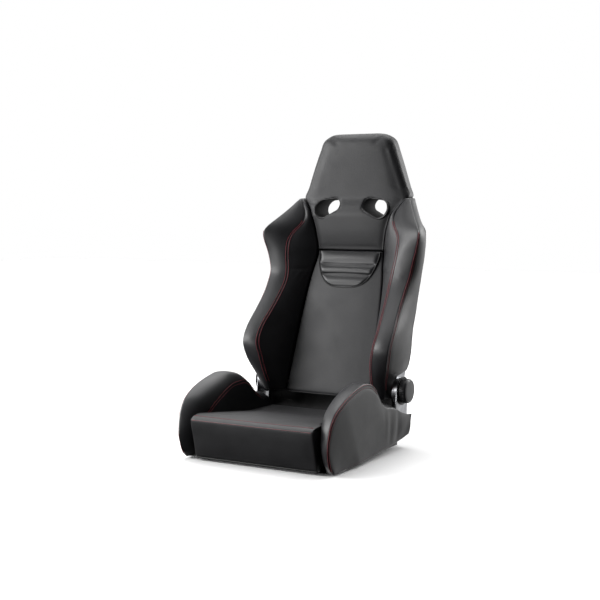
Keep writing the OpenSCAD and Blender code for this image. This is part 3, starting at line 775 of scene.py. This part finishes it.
def make_head():
    top = HEAD_TOP / MM
    z = np.concatenate([[SEAM_Z / MM + 0.6, SEAM_Z / MM + 3], np.linspace(SEAM_Z / MM + 7, 905, 78),
                        top - (top - 905) * (1 - np.sin(np.linspace(0.06, 1, 16) * np.pi / 2))])
    w, f, g = head_section(z)
    n_front, n_corner = 26, 6
    rings = []
    for k in range(len(z)):
        r = 4 + 18 * float(ease((z[k] - 712) / 40))
        r = min(r, (g[k] - f[k]) * 0.45)
        x = np.linspace(-1, 1, n_front + 1) * (w[k] - r)
        crown = 4 * (1 - np.abs(np.linspace(-1, 1, n_front + 1)) ** 2.5)
        from_edge = w[k] - np.abs(x)
        valley = 3.2 * np.exp(-((from_edge - 27) / 7) ** 2)
        valley = valley * ease((z[k] - 742) / 30) * ease((915 - z[k]) / 40)
        front = np.stack([x, f[k] - crown * min(1, (top + 8 - z[k]) / 30) + valley], -1)
        a = np.linspace(0, np.pi / 2, n_corner + 1)[1:]
        corner = np.stack([w[k] - r + r * np.sin(a), f[k] + r - r * np.cos(a)], -1)
        side = np.stack([np.linspace(w[k], w[k] - 3, 5)[1:], np.linspace(f[k] + r, g[k] - 6, 5)[1:]], -1)
        rear = np.stack([np.linspace(1, -1, 9) * (w[k] - 8), np.full(9, g[k])], -1)
        left_side = side[::-1] * [-1, 1]
        left_corner = corner[::-1] * [-1, 1]
        ring = np.concatenate([front, corner, side, rear, left_side, left_corner])
        rings.append(np.hstack([ring, np.full((len(ring), 1), z[k])]))
    grid = np.array(rings) * MM
    obj = grid_object("head_cover", grid)
    cols = grid.shape[1]
    first_side = n_front + n_corner
    hidden = list(range(first_side + 3, cols - n_corner - 3))
    inflate(obj, sewn(grid.shape[:2], hidden, 5), 5 * MM)
    grid = read_grid(obj, grid.shape).copy()
    n = grid_normals(grid)
    low = np.nonzero(z < 735)[0]
    for column in (n_front, 0):
        groove(grid, n, column, 1.5 * MM, low)
    high = np.nonzero(z > 742)[0]
    for column in (first_side + 2, cols - n_corner - 3):
        groove(grid, n, column, 2.2 * MM, high)
    grid[0, :, 1] += 3 * MM
    write_grid(obj, grid)
    subdivide(obj)
    obj.data.materials.append(PANEL)
    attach(obj, "backrest")
    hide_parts("head_pad")
    cut_harness_holes(obj, 3)


def shape_like_hole(obj, grow):
    """Draws a round outline out to the narrow end of the hole."""
    place_in_mesh(obj)
    for v in obj.data.vertices:
        d = Vector((v.co.x - HOLE_LARGE_X, v.co.z - (HARNESS_Z - HOLE_LARGE_DROP)))
        if d.x * math.cos(HOLE_TILT) + d.y * math.sin(HOLE_TILT) < 1e-6:
            d *= (HOLE_SMALL_R + grow) / (HOLE_LARGE_R + grow)
            v.co.x = HOLE_SMALL_X + d.x
            v.co.z = HARNESS_Z + HOLE_SMALL_RISE + d.y
    obj.data.update()


def harness_cutter(side, grow):
    """Prism through a harness hole, wide at its outer lower end."""
    deselect()
    bpy.ops.mesh.primitive_cylinder_add(vertices=64, radius=(HOLE_LARGE_R + grow) * MM, depth=0.4,
                                        location=(HOLE_LARGE_X, 0.36, HARNESS_Z - HOLE_LARGE_DROP),
                                        rotation=(math.pi / 2, 0, 0))
    obj = bpy.context.object
    shape_like_hole(obj, grow)
    if side < 0:
        mirror_mesh(obj)
    return obj


def cut_harness_holes(obj, grow):
    for cutter in [harness_cutter(side, grow) for side in (1, -1)]:
        m = obj.modifiers.new("hole", "BOOLEAN")
        m.operation, m.object, m.solver = "DIFFERENCE", cutter, "EXACT"
        bpy.context.view_layer.objects.active = obj
        while obj.modifiers.find(m.name) > 0:
            bpy.ops.object.modifier_move_up(modifier=m.name)
        bpy.ops.object.modifier_apply(modifier=m.name)
        bpy.data.objects.remove(cutter)


# ---- base ----

# Row, crest seam x, y and z, inner seam y and z, inner seam x, and the hem's y below it.
BOLSTER_ROWS = [
    [0, 235, -243, 5, -234, 10, 212, -240],
    [1, 237, -267, 30, -231, 42, 202, -227],
    [2, 238, -280, 80, -227, 78, 198, -200],
    [3, 240, -272, 127, -213, 111, 192, -172],
    [4, 243, -248, 165, -190, 141, 182, -140],
    [5, 246, -190, 199, -156, 165, 177, -105],
    [6, 246, -130, 217, -124, 181, 176, -70],
    [7, 246, -81, 225, -81, 194, 176, -40],
    [8, 246, -34, 216, -37, 196, 176, -10],
    [9, 246, -6, 198, -8, 187, 176, 15],
    [10, 246, 14, 175, 20, 165, 176, 35],
    [11, 246, 36, 151, 48, 143, 176, 58],
    [12, 246, 60, 139, 74, 132, 176, 82],
    [13, 246, 88, 133, 104, 127, 178, 105],
    [13.6, 246, 108, 130, 126, 122, 184, 122],
    [14.2, 246, 122, 126, 131, 119, 212, 134],
    [14.8, 246, 134, 122, 135, 118, 235, 146],
    [15.4, 247, 156, 112, 154, 109, 241, 162],
    [16, 248, 186, 103, 185, 101, 241, 182],
    [17, 249, 223, 95, 222, 93, 241, 206]]
HEM = [[-250, 4], [-180, 6], [-100, 9], [28, 19], [100, 24], [156, 30], [206, 39]]
BOLSTER_COLS = {"inner": 9, "band": 14, "outer": 16, "low": 5}


def bowed(a, b, shares, depth, away, along):
    """Points from a to b for every row, bowed by depth away from a reference point."""
    d = b - a
    n = unit(np.cross(d, along))
    n *= np.sign(np.sum(n * ((a + b) / 2 - away), -1, keepdims=True))
    t = shares[None, :, None]
    depth = np.asarray(depth, float).reshape(-1, 1, 1)
    return a[:, None] + d[:, None] * t + n[:, None] * depth * np.sin(np.pi * t) ** 0.8


def bolster_grid():
    s = np.concatenate([np.linspace(0, 12, 96), np.linspace(12.1, 17, 44)])
    t = smooth_table(BOLSTER_ROWS, s)
    hem_z = smooth_table(HEM, t[:, 6])[:, 0]
    ones = np.ones(len(s))
    crest = t[:, 0:3]
    inner = np.stack([t[:, 5], t[:, 3], t[:, 4]], -1)
    hem = np.stack([t[:, 0] + 1.5, t[:, 6], hem_z], -1)
    tail = ease((s - 14.5) / 0.6)[:, None]
    foot = np.stack([t[:, 5] - 1, t[:, 3], np.minimum(42, t[:, 4] - 6)], -1)
    foot = foot * (1 - tail) + np.stack([241 * ones, t[:, 6], hem_z + 2], -1) * tail
    along = unit(np.gradient(crest, axis=0))
    centre = np.array([215, -40, 90])
    thick = np.linalg.norm(crest - inner, axis=1)
    shares = clustered(BOLSTER_COLS["inner"], 0.04)
    a = bowed(foot, inner, shares, 5 * np.minimum(1, (inner[:, 2] - foot[:, 2]) / 90) * (1 - tail[:, 0]),
              centre, along)
    b = bowed(inner, crest, clustered(BOLSTER_COLS["band"], 0.05), 15 * np.clip(thick / 75, 0, 1) ** 1.5,
              centre, along)
    c = bowed(crest, hem, clustered(BOLSTER_COLS["outer"], 0.03), 3.0, np.array([0, -40, 90]), along)
    # Folds in the side cover behind the bolster, where nothing fills it.
    drop = np.linspace(0, 1, c.shape[1])
    folds = np.sin(3.2 * s[:, None] + 5.5 * drop[None, :]) * ease((s - 10.5) / 2.0)[:, None]
    # Wrinkles in the corner behind the cushion, where the cover is drawn tight round its end.
    across = np.linspace(0, 1, b.shape[1])
    creases = np.sin(9.0 * s[:, None] + 7.0 * across[None, :]) * ease((s - 11) / 1.5)[:, None]
    b[..., 2] += 1.5 * creases * np.sin(np.pi * across)[None, :] * (1 - tail)
    c[..., 0] += 0.9 * folds * np.sin(np.pi * drop)[None, :]
    low = np.stack([np.stack([244 * ones, hem[:, 1], hem_z + 0.5], -1),
                    np.stack([np.maximum(foot[:, 0], 216), 0.7 * hem[:, 1] + 0.3 * foot[:, 1],
                              hem_z + 2], -1),
                    np.stack([np.maximum(foot[:, 0], 213), 0.3 * hem[:, 1] + 0.7 * foot[:, 1],
                              np.minimum(41, foot[:, 2])], -1)], axis=1)
    grid = np.concatenate([a, b[:, 1:], c[:, 1:], low], axis=1) * MM
    i = BOLSTER_COLS["inner"]
    o = i + BOLSTER_COLS["band"]
    return grid, s, {"inner": i, "outer": o, "hem": o + BOLSTER_COLS["outer"]}


def make_bolster(side):
    grid, s, seam = bolster_grid()
    if side < 0:
        grid = mirrored(grid)
    tag = "r" if side > 0 else "l"
    obj = grid_object("bolster_" + tag, grid)
    hidden = list(range(seam["hem"], grid.shape[1]))
    free = sewn(grid.shape[:2], [0, seam["inner"], seam["outer"], *hidden, grid.shape[1]], 4)
    free = free.reshape(grid.shape[:2]) * (1 - 0.9 * ease((s - 12) / 2.0))[:, None]
    inflate(obj, free.reshape(-1), 9 * MM)
    grid = read_grid(obj, grid.shape).copy()
    n = grid_normals(grid)
    live = np.nonzero(s < 12.3)[0]
    groove(grid, n, seam["inner"], 2.6 * MM, live)
    groove(grid, n, seam["outer"] + 1, 2.2 * MM, live[live < 84])
    write_grid(obj, grid)
    subdivide(obj)
    obj.data.materials.append(BOLSTER)
    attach(obj, "base")
    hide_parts("base_bolster_" + tag)
    n = grid_normals(grid)
    lines = []
    for column, first, last in ((seam["inner"], 3.2, 11.6), (seam["outer"] + 1, 0.5, 9.2)):
        rows = np.nonzero((s > first) & (s < last))[0]
        for d in STITCH_ROWS:
            line, nrm = offset_line(grid, n, column, d * MM, THREAD_LIFT)
            lines.append((line[rows], nrm[rows]))
    stitches("bolster_thread_" + tag, lines, THREAD, "base")


def cushion_profile():
    """The cushion's outline front to back, in y and z millimetres, and the columns of its seams."""
    fascia = smooth_table([[0, -250, 7], [0.1, -257, 11], [0.3, -264, 34], [0.6, -273, 70], [0.9, -282, 108],
                          [1, -283, 117]], np.linspace(0, 1, 19))
    lip = np.array([[-281.5, 121.5], [-277, 126.0]])
    top = smooth_table([[0, -271, 128.5], [0.1, -240, 131.5], [0.2, -205, 130], [0.42, -120, 120],
                       [0.8, 20, 106], [0.96, 118, 104], [1, 130, 103]], np.linspace(0, 1, 44))
    rear = np.array([[138, 99], [142, 90], [142, 72], [141, 54]])
    under = np.array([[100, 52], [30, 52], [-60, 52], [-140, 52], [-206, 53], [-226, 44], [-229, 30],
                      [-230, 9]])
    return np.concatenate([fascia, lip, top, rear, under]), {"lip": 20, "rear": 20 + 44}


def make_cushion():
    ring, seam = cushion_profile()
    t = np.concatenate([[-1, -0.996, -0.985], np.linspace(-0.965, 0.965, 62), [0.985, 0.996, 1]])
    half = smooth_table([[-283, 195.5], [-236, 195.5], [-218, 180], [-205, 173], [142, 172]],
                        ring[:, 0])[:, 0]
    half[len(ring) - 8:len(ring) - 3] = 172
    centre = np.array([-60.0, 80.0])
    grid = np.zeros((len(t), len(ring), 3))
    for j, k in enumerate(t):
        shrink = {0: 5, 1: 2, 2: 0.5}.get(min(j, len(t) - 1 - j), 0)
        inward = unit(centre - ring)
        p = ring + inward * shrink
        x = k * half
        crown = 2.5 * (1 - k ** 2)
        # The seat dishes a little where the rider sits, and its front edge is crowned.
        dish = -5 * np.exp(-((ring[:, 0] - 40) / 90) ** 2) * (1 - k ** 4) * (ring[:, 1] > 95)
        grid[j] = np.stack([x, p[:, 0] - crown * (ring[:, 0] < -262), p[:, 1] + dish], -1)
    grid *= MM
    obj = grid_object("cushion_cover", grid)
    cols = grid.shape[1]
    hidden = list(range(seam["rear"] + 2, cols))
    free = sewn(grid.shape[:2], [0, 1, seam["lip"], *hidden, cols], 6)
    inflate(obj, free, 8 * MM)
    grid = read_grid(obj, grid.shape).copy()
    n = grid_normals(grid)
    groove(grid, n, seam["lip"], 1.2 * MM)
    write_grid(obj, grid)
    subdivide(obj)
    obj.data.materials.append(PANEL)
    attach(obj, "base")
    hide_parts("seat_cushion")
    n = grid_normals(grid)
    lines = []
    for d in (-9, 9):
        line, nrm = offset_line(grid, n, seam["lip"], d * MM, THREAD_LIFT)
        lines.append((line[3:-3], nrm[3:-3]))
    stitches("cushion_thread", lines, THREAD, "base")
    hem = grid[1:-1, 1] + np.array([0, 0, -0.5]) * MM
    cord_along("cushion_hem", hem, 3.2 * MM, PIPING, "base")


# ---- back of the seat ----

REAR_EDGE = [[r[0], r[5], r[6]] for r in WING[:-2]] + [[726, 186, 378], [742, 176, 383], [820, 145, 390],
    [890, 119, 400], [907, 108, 402], [919, 94, 402]]
REAR_DEPTH = [[104, 75, 9], [200, 87, 12], [340, 87, 12], [450, 87, 6], [600, 87, 6], [680, 80, 6],
              [742, 76, 5], [907, 70, 5], [919, 66, 5]]


def rear_face(z, share):
    """X and y of the back cover's outer face at heights z and at shares of its half width, -1 to 1."""
    edge = smooth_table(REAR_EDGE, z)
    w = np.where(z < 150, 196, edge[:, 0] - 2)
    depth = smooth_table(REAR_DEPTH, z)
    mid = front_y(z) + depth[:, 0]
    x = w[:, None] * share[None, :]
    y = mid[:, None] - (mid - edge[:, 1])[:, None] * np.abs(share)[None, :] ** depth[:, 1][:, None]
    return x, y


def make_rear_cover():
    z = np.concatenate([np.linspace(104, 148, 8), np.linspace(151, 211, 12), [214, 216.5],
                        np.linspace(221, 916, 96)])
    share = np.sin(np.linspace(-np.pi / 2, np.pi / 2, 45))
    x, y = rear_face(z, share)
    # Sewn channels beside the middle, and a seam across above the lower flap.
    for middle in (-0.46, 0.46):
        y -= 3.0 * np.exp(-((share[None, :] - middle) / 0.012) ** 2) * ((z > 240) & (z < 640))[:, None]
    y -= 2.5 * np.exp(-((z - 240) / 4) ** 2)[:, None] * (np.abs(share) < 0.97)[None, :]
    # Slack cloth over the frame's openings.
    y -= 4.0 * (np.exp(-((z - 400) / 90) ** 2)[:, None] * np.cos(share * np.pi / 2)[None, :] ** 2)
    height = np.repeat(z[:, None], len(share), 1)
    outer = np.dstack([x, y, height])
    inner = np.dstack([x * 0.985, y - 6.5, height])[:, ::-1]
    grid = np.concatenate([outer, inner], axis=1) * MM
    obj = grid_object("back_cover", grid)
    subdivide(obj)
    obj.data.materials.append(CLOTH)
    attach(obj, "backrest")
    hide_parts("rear_panel")
    cut_harness_holes(obj, 3)
    for tag, middle in (("r", 0.46), ("l", -0.46)):
        zs = np.linspace(244, 636, 90)
        px, py = rear_face(zs, np.array([middle]))
        py = py[:, 0] - 4.0 * np.exp(-((zs - 400) / 90) ** 2) * math.cos(middle * math.pi / 2) ** 2
        seam = np.stack([px[:, 0], py - 1.0, zs], -1) * MM
        cord_along("back_cover_piping_" + tag, seam, 1.9 * MM, PIPING, "backrest")
    for tag, middle in (("r", 0.992), ("l", -0.992)):
        zs = np.linspace(222, 912, 130)
        px, py = rear_face(zs, np.array([middle]))
        edge = np.stack([px[:, 0], py[:, 0] + 0.5, zs], -1) * MM
        cord_along("back_cover_edge_" + tag, edge, 2.2 * MM, PIPING, "backrest")


def make_skirt():
    """Cloth that closes the gap under the backrest and follows both the backrest and the base."""
    share = np.linspace(-1, 1, 61)
    line = smooth_table([[0, 226, 150], [0.25, 223, 126], [0.5, 211, 101], [0.75, 184, 82], [1, 148, 70]],
                        np.linspace(0, 1, 26))
    folds = 1.8 * np.sin(share * 23) * np.cos(share * 9)
    rows = []
    for k, (y, z) in enumerate(line):
        sag = math.sin(math.pi * k / 25)
        half_w = 218 + 13 * float(ease((z - 96) / 20))
        forward = 26 * np.abs(share) ** 10 * (1 - 0.5 * k / 25)
        rows.append(np.stack([share * half_w, y - forward + folds * sag, np.full_like(share, z)], -1))
    outer = np.array(rows)
    inner = (outer + np.array([0, -1.2, 1.0]))[:, ::-1]
    obj = grid_object("lower_skirt", np.concatenate([outer, inner], axis=1) * MM)
    obj.data.materials.append(CLOTH)
    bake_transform(obj)


# ---- moulded pieces, shaped one by one ----

def select_faces(obj, test):
    """Selects the faces whose centre and normal pass a test, and opens edit mode."""
    for p in obj.data.polygons:
        p.select = bool(test(p.center, p.normal))
    chosen = {v for p in obj.data.polygons if p.select for v in p.vertices}
    for e in obj.data.edges:
        e.select = False
    for v in obj.data.vertices:
        v.select = v.index in chosen
    bpy.ops.object.mode_set(mode="EDIT")
    bpy.ops.mesh.select_mode(type="FACE")


def object_mode():
    bpy.ops.object.mode_set(mode="OBJECT")


def rounded_edges(obj, width):
    m = obj.modifiers.new("edge", "BEVEL")
    m.width, m.segments, m.limit_method, m.angle_limit = width, 3, "ANGLE", math.radians(35)
    bpy.context.view_layer.objects.active = obj
    bpy.ops.object.modifier_apply(modifier="edge")
    deselect()
    obj.select_set(True)
    bpy.ops.object.shade_smooth_by_angle(angle=math.radians(40))


def draw_out(steps, centre):
    """Draws the selected face out along X in steps, each a length in millimetres and a scale."""
    for length, scale in steps:
        bpy.ops.mesh.extrude_region_move(TRANSFORM_OT_translate={"value": (length * MM, 0, 0)})
        bpy.ops.transform.resize(value=(1, scale, scale), center_override=centre)


def make_dial():
    """Grip dial: a fluted barrel, a sloped shoulder and a shallow domed face inside a groove."""
    low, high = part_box("dial_knob")
    x0, x1 = low[0], high[0]
    r = (high[1] - low[1]) / 2
    depth = x1 - x0 - 5 * MM
    deselect()
    bpy.ops.mesh.primitive_cylinder_add(vertices=96, radius=r - 0.3 * MM, depth=depth,
                                        location=(x0 + depth / 2, AXIS.y, AXIS.z),
                                        rotation=(0, math.pi / 2, 0))
    obj = bpy.context.object
    place_in_mesh(obj)
    centre = (0, AXIS.y, AXIS.z)
    face = x0 + depth

    def is_flute(c, n):
        turn = int(round((math.atan2(c.z - AXIS.z, c.y - AXIS.y) / (2 * math.pi)) * 96 - 0.5)) % 3
        return abs(n.x) < 0.5 and turn == 0

    select_faces(obj, is_flute)
    bpy.ops.mesh.inset(thickness=0.25 * MM, use_individual=True)
    bpy.ops.transform.shrink_fatten(value=-0.7 * MM)
    object_mode()
    select_faces(obj, lambda c, n: n.x > 0.9 and abs(c.x - face) < 0.1 * MM)
    draw_out(((0.8, 0.985), (2.8, 0.945), (0.6, 0.965), (0, 0.95), (-0.9, 0.985), (0, 0.975), (0.9, 0.985),
              (0.4, 0.85), (0.25, 0.7), (0.1, 0.5)), centre)
    object_mode()
    rounded_edges(obj, 0.35 * MM)
    obj.name = "grip_dial"
    obj.data.materials.append(DIAL)
    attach(obj, "dial")
    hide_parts("dial_knob")


def make_recliner_cover(tag):
    """Round cap over the recliner, with a raised rim and a stepped centre."""
    low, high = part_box("recliner_cover_" + tag)
    side = 1 if tag == "r" else -1
    x0 = low[0] if side > 0 else -high[0]
    r = (high[1] - low[1]) / 2
    deselect()
    bpy.ops.mesh.primitive_cylinder_add(vertices=96, radius=r, depth=2 * MM,
                                        location=(x0 + 1 * MM, AXIS.y, AXIS.z), rotation=(0, math.pi / 2, 0))
    obj = bpy.context.object
    place_in_mesh(obj)
    centre = (0, AXIS.y, AXIS.z)
    select_faces(obj, lambda c, n: n.x > 0.9)
    draw_out(((0.7, 0.985), (0, 0.955), (-1.0, 0.985), (0, 0.60), (0.8, 0.97), (0, 0.45), (-0.9, 0.94)),
             centre)
    object_mode()
    rounded_edges(obj, 0.3 * MM)
    if side < 0:
        mirror_mesh(obj)
    obj.name = "recliner_cap_" + tag
    obj.data.materials.append(PLASTIC)
    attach(obj, "base")
    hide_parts("recliner_cover_" + tag)


# Thickness of a bezel's rolled lip.
BEZEL_LIP = 3 * MM


def make_bezel(node, tag, front):
    """Rolled bezel of a harness hole: an open sleeve whose lip is drawn out and turned back."""
    side = 1 if tag == "r" else -1
    low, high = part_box(node)
    deselect()
    lip, back = (low[1], high[1]) if front else (high[1], low[1])
    way = -1 if front else 1
    edge = lip - way * BEZEL_LIP
    depth = abs(back - lip) - BEZEL_LIP
    bpy.ops.mesh.primitive_cylinder_add(vertices=72, radius=HOLE_LARGE_R * MM, depth=depth,
                                        end_fill_type="NOTHING",
                                        location=(HOLE_LARGE_X, (back + edge) / 2,
                                                  HARNESS_Z - HOLE_LARGE_DROP),
                                        rotation=(math.pi / 2, 0, 0))
    obj = bpy.context.object
    shape_like_hole(obj, 0)
    centre = (81 * MM, 0, HARNESS_Z + 0.5 * MM)
    for v in obj.data.vertices:
        v.select = abs(v.co.y - edge) < 0.1 * MM
    for e in obj.data.edges:
        e.select = all(obj.data.vertices[k].select for k in e.vertices)
    for p in obj.data.polygons:
        p.select = False
    bpy.ops.object.mode_set(mode="EDIT")
    bpy.ops.mesh.select_mode(type="EDGE")
    for move, scale in ((1.6, 1.015), (1.1, 1.045), (0.3, 1.06), (-0.5, 1.05), (-1.4, 1.02), (-1.1, 0.999)):
        bpy.ops.mesh.extrude_region_move(TRANSFORM_OT_translate={"value": (0, way * move * MM, 0)})
        bpy.ops.transform.resize(value=(scale, 1, scale), center_override=centre)
    bpy.ops.mesh.extrude_region_move(TRANSFORM_OT_translate={"value": (0, 0, 0)})
    bpy.ops.transform.resize(value=(0.93, 1, 0.93), center_override=centre)
    bpy.ops.mesh.extrude_region_move(TRANSFORM_OT_translate={"value": (0, -way * depth * 0.98, 0)})
    object_mode()
    bm = bmesh.new()
    bm.from_mesh(obj.data)
    rim = [e for e in bm.edges if e.is_boundary]
    bmesh.ops.bridge_loops(bm, edges=rim)
    bmesh.ops.recalc_face_normals(bm, faces=bm.faces)
    bm.to_mesh(obj.data)
    bm.free()
    # The lip leans with the padding that it clamps.
    for v in obj.data.vertices:
        at = v.co.z / MM
        deep_mm = 0 if front else smooth_table(REAR_DEPTH, at)[0, 0]
        crown = 3.2 if front else -0.5
        surface = (front_y(at)[0] + deep_mm - crown) * MM
        v.co.y += (surface - edge) * max(0, 1 - abs(v.co.y - lip) / (depth * 0.9))
    if side < 0:
        mirror_mesh(obj)
    deselect()
    obj.select_set(True)
    bpy.context.view_layer.objects.active = obj
    bpy.ops.object.shade_smooth_by_angle(angle=math.radians(50))
    obj.name = ("front_" if front else "rear_") + "bezel_" + tag
    obj.data.materials.append(PLASTIC)
    obj.data.materials.append(PAINTED_SHADE_SLEEVE)
    # Faces inside the hole, behind the lip, take the painted shade material: a near black that stands in for
    # the shadow in the hole.
    for p in obj.data.polygons:
        inward = p.normal.x * (side * centre[0] - p.center.x) + p.normal.z * (centre[2] - p.center.z)
        in_painted_shade = way * (edge - p.center.y) > 0 and inward > 0
        p.material_index = 1 if in_painted_shade else 0
    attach(obj, "backrest")
    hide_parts(node)


PAINTED_NODES = ("base_rail_l", "base_rail_r", "front_cross_tube", "rear_cross_tube", "front_pan",
                 "back_hoop", "lumbar_cross_tube", "shoulder_cross_tube")
ZINC_NODES = ("recliner_bracket_l", "recliner_bracket_r", "recliner_ring_l", "recliner_ring_r",
              "bracket_bolts", "mount_nuts", "recliner_arm_l", "recliner_arm_r", "recliner_gear_l",
              "recliner_gear_r", "drive_shaft", "recliner_cam_l", "recliner_cam_r")
for finish, nodes in ((PAINTED, PAINTED_NODES), (ZINC, ZINC_NODES), (WIRE, ("seat_springs", "back_springs")),
                      (CLOTH, ("underside_cover",)), (PLASTIC, ("rear_trim_l", "rear_trim_r"))):
    for node in nodes:
        paint_node(node, finish)

make_wing(1)
make_wing(-1)
make_back_pad()
make_ribbed_pad()
make_head()
make_bolster(1)
make_bolster(-1)
make_cushion()
make_rear_cover()
make_skirt()
make_dial()
make_recliner_cover("r")
make_recliner_cover("l")
for tag in ("r", "l"):
    make_bezel("harness_bezel_front_" + tag, tag, True)
    make_bezel("harness_bezel_rear_" + tag, tag, False)

# ---- stage ----

def area_light(name, place, target, size, power):
    data = bpy.data.lights.new(name, "AREA")
    data.shape, data.size, data.size_y, data.energy = "RECTANGLE", size[0], size[1], power
    obj = bpy.data.objects.new(name, data)
    obj.location = place
    obj.rotation_euler = (Vector(target) - Vector(place)).to_track_quat("-Z", "Y").to_euler()
    bpy.context.scene.collection.objects.link(obj)


def make_stage():
    floor = mesh_object("floor", [(-9, -9, 0), (9, -9, 0), (9, 9, 0), (-9, 9, 0)], [(0, 1, 2, 3)], False)
    m, t = new_material("studio_floor")
    finish_material(t, {"Base Color": colour("#f7f7f7"), "Roughness": 0.9, "Specular IOR Level": 0.1}, {})
    floor.data.materials.append(m)
    # The floor shows and takes shadows, and throws no light of its own back up at the leather.
    floor.visible_glossy = False
    floor.visible_diffuse = False
    world = bpy.data.worlds.new("studio")
    bpy.context.scene.world = world
    world.use_nodes = True
    t = world.node_tree
    t.nodes.clear()
    # A bright wall stands behind the seat and the room in front of it is dark, which leathers need.
    way = add_node(t, "ShaderNodeTexCoord").outputs["Generated"]
    behind = add_node(t, "ShaderNodeVectorMath", {"operation": "DOT_PRODUCT", 1: (-0.42, 0.90, 0.12)},
                      {0: way})
    fade = add_node(t, "ShaderNodeMapRange",
                    {"From Min": 0.1, "From Max": 0.75, "To Min": 0.05, "To Max": 1.15},
                    {"Value": behind.outputs["Value"]})
    room = add_node(t, "ShaderNodeBackground", {"Color": colour("#ffffff")}, {"Strength": fade.outputs[0]})
    seen = add_node(t, "ShaderNodeBackground", {"Color": colour("#ffffff"), "Strength": 1.0})
    path = add_node(t, "ShaderNodeLightPath")
    mix = add_node(t, "ShaderNodeMixShader", {}, {0: path.outputs["Is Camera Ray"], 1: room.outputs[0],
                   2: seen.outputs[0]})
    add_node(t, "ShaderNodeOutputWorld", {}, {"Surface": mix.outputs[0]})
    sky = bpy.data.lights.new("ceiling", "SUN")
    sky.energy, sky.angle = 2.6, math.radians(60)
    ceiling = bpy.data.objects.new("ceiling", sky)
    ceiling.rotation_euler = Vector((0.25, -0.3, -1)).to_track_quat("-Z", "Y").to_euler()
    bpy.context.scene.collection.objects.link(ceiling)
    area_light("key", (-2.7, -2.0, 2.3), (0, 0.1, 0.5), (2.0, 1.6), 110)
    area_light("front_fill", (-1.6, -3.4, 0.80), (0, 0, 0.3), (1.8, 0.6), 45)
    area_light("side_fill", (-3.1, -1.0, 1.0), (0, -0.1, 0.3), (1.6, 1.0), 60)
    area_light("rim", (1.5, 2.3, 1.3), (0.1, 0.2, 0.5), (1.0, 1.6), 50)


def make_camera():
    data = bpy.data.cameras.new("camera")
    data.lens, data.sensor_width = 69.63, 36
    obj = bpy.data.objects.new("camera", data)
    obj.location = (1.654, -2.907, 0.7165)
    obj.rotation_euler = (math.radians(90 - 4.7), 0, math.radians(29.7))
    bpy.context.scene.collection.objects.link(obj)
    bpy.context.scene.camera = obj


make_stage()
make_camera()
bpy.context.scene.view_settings.view_transform = "Standard"
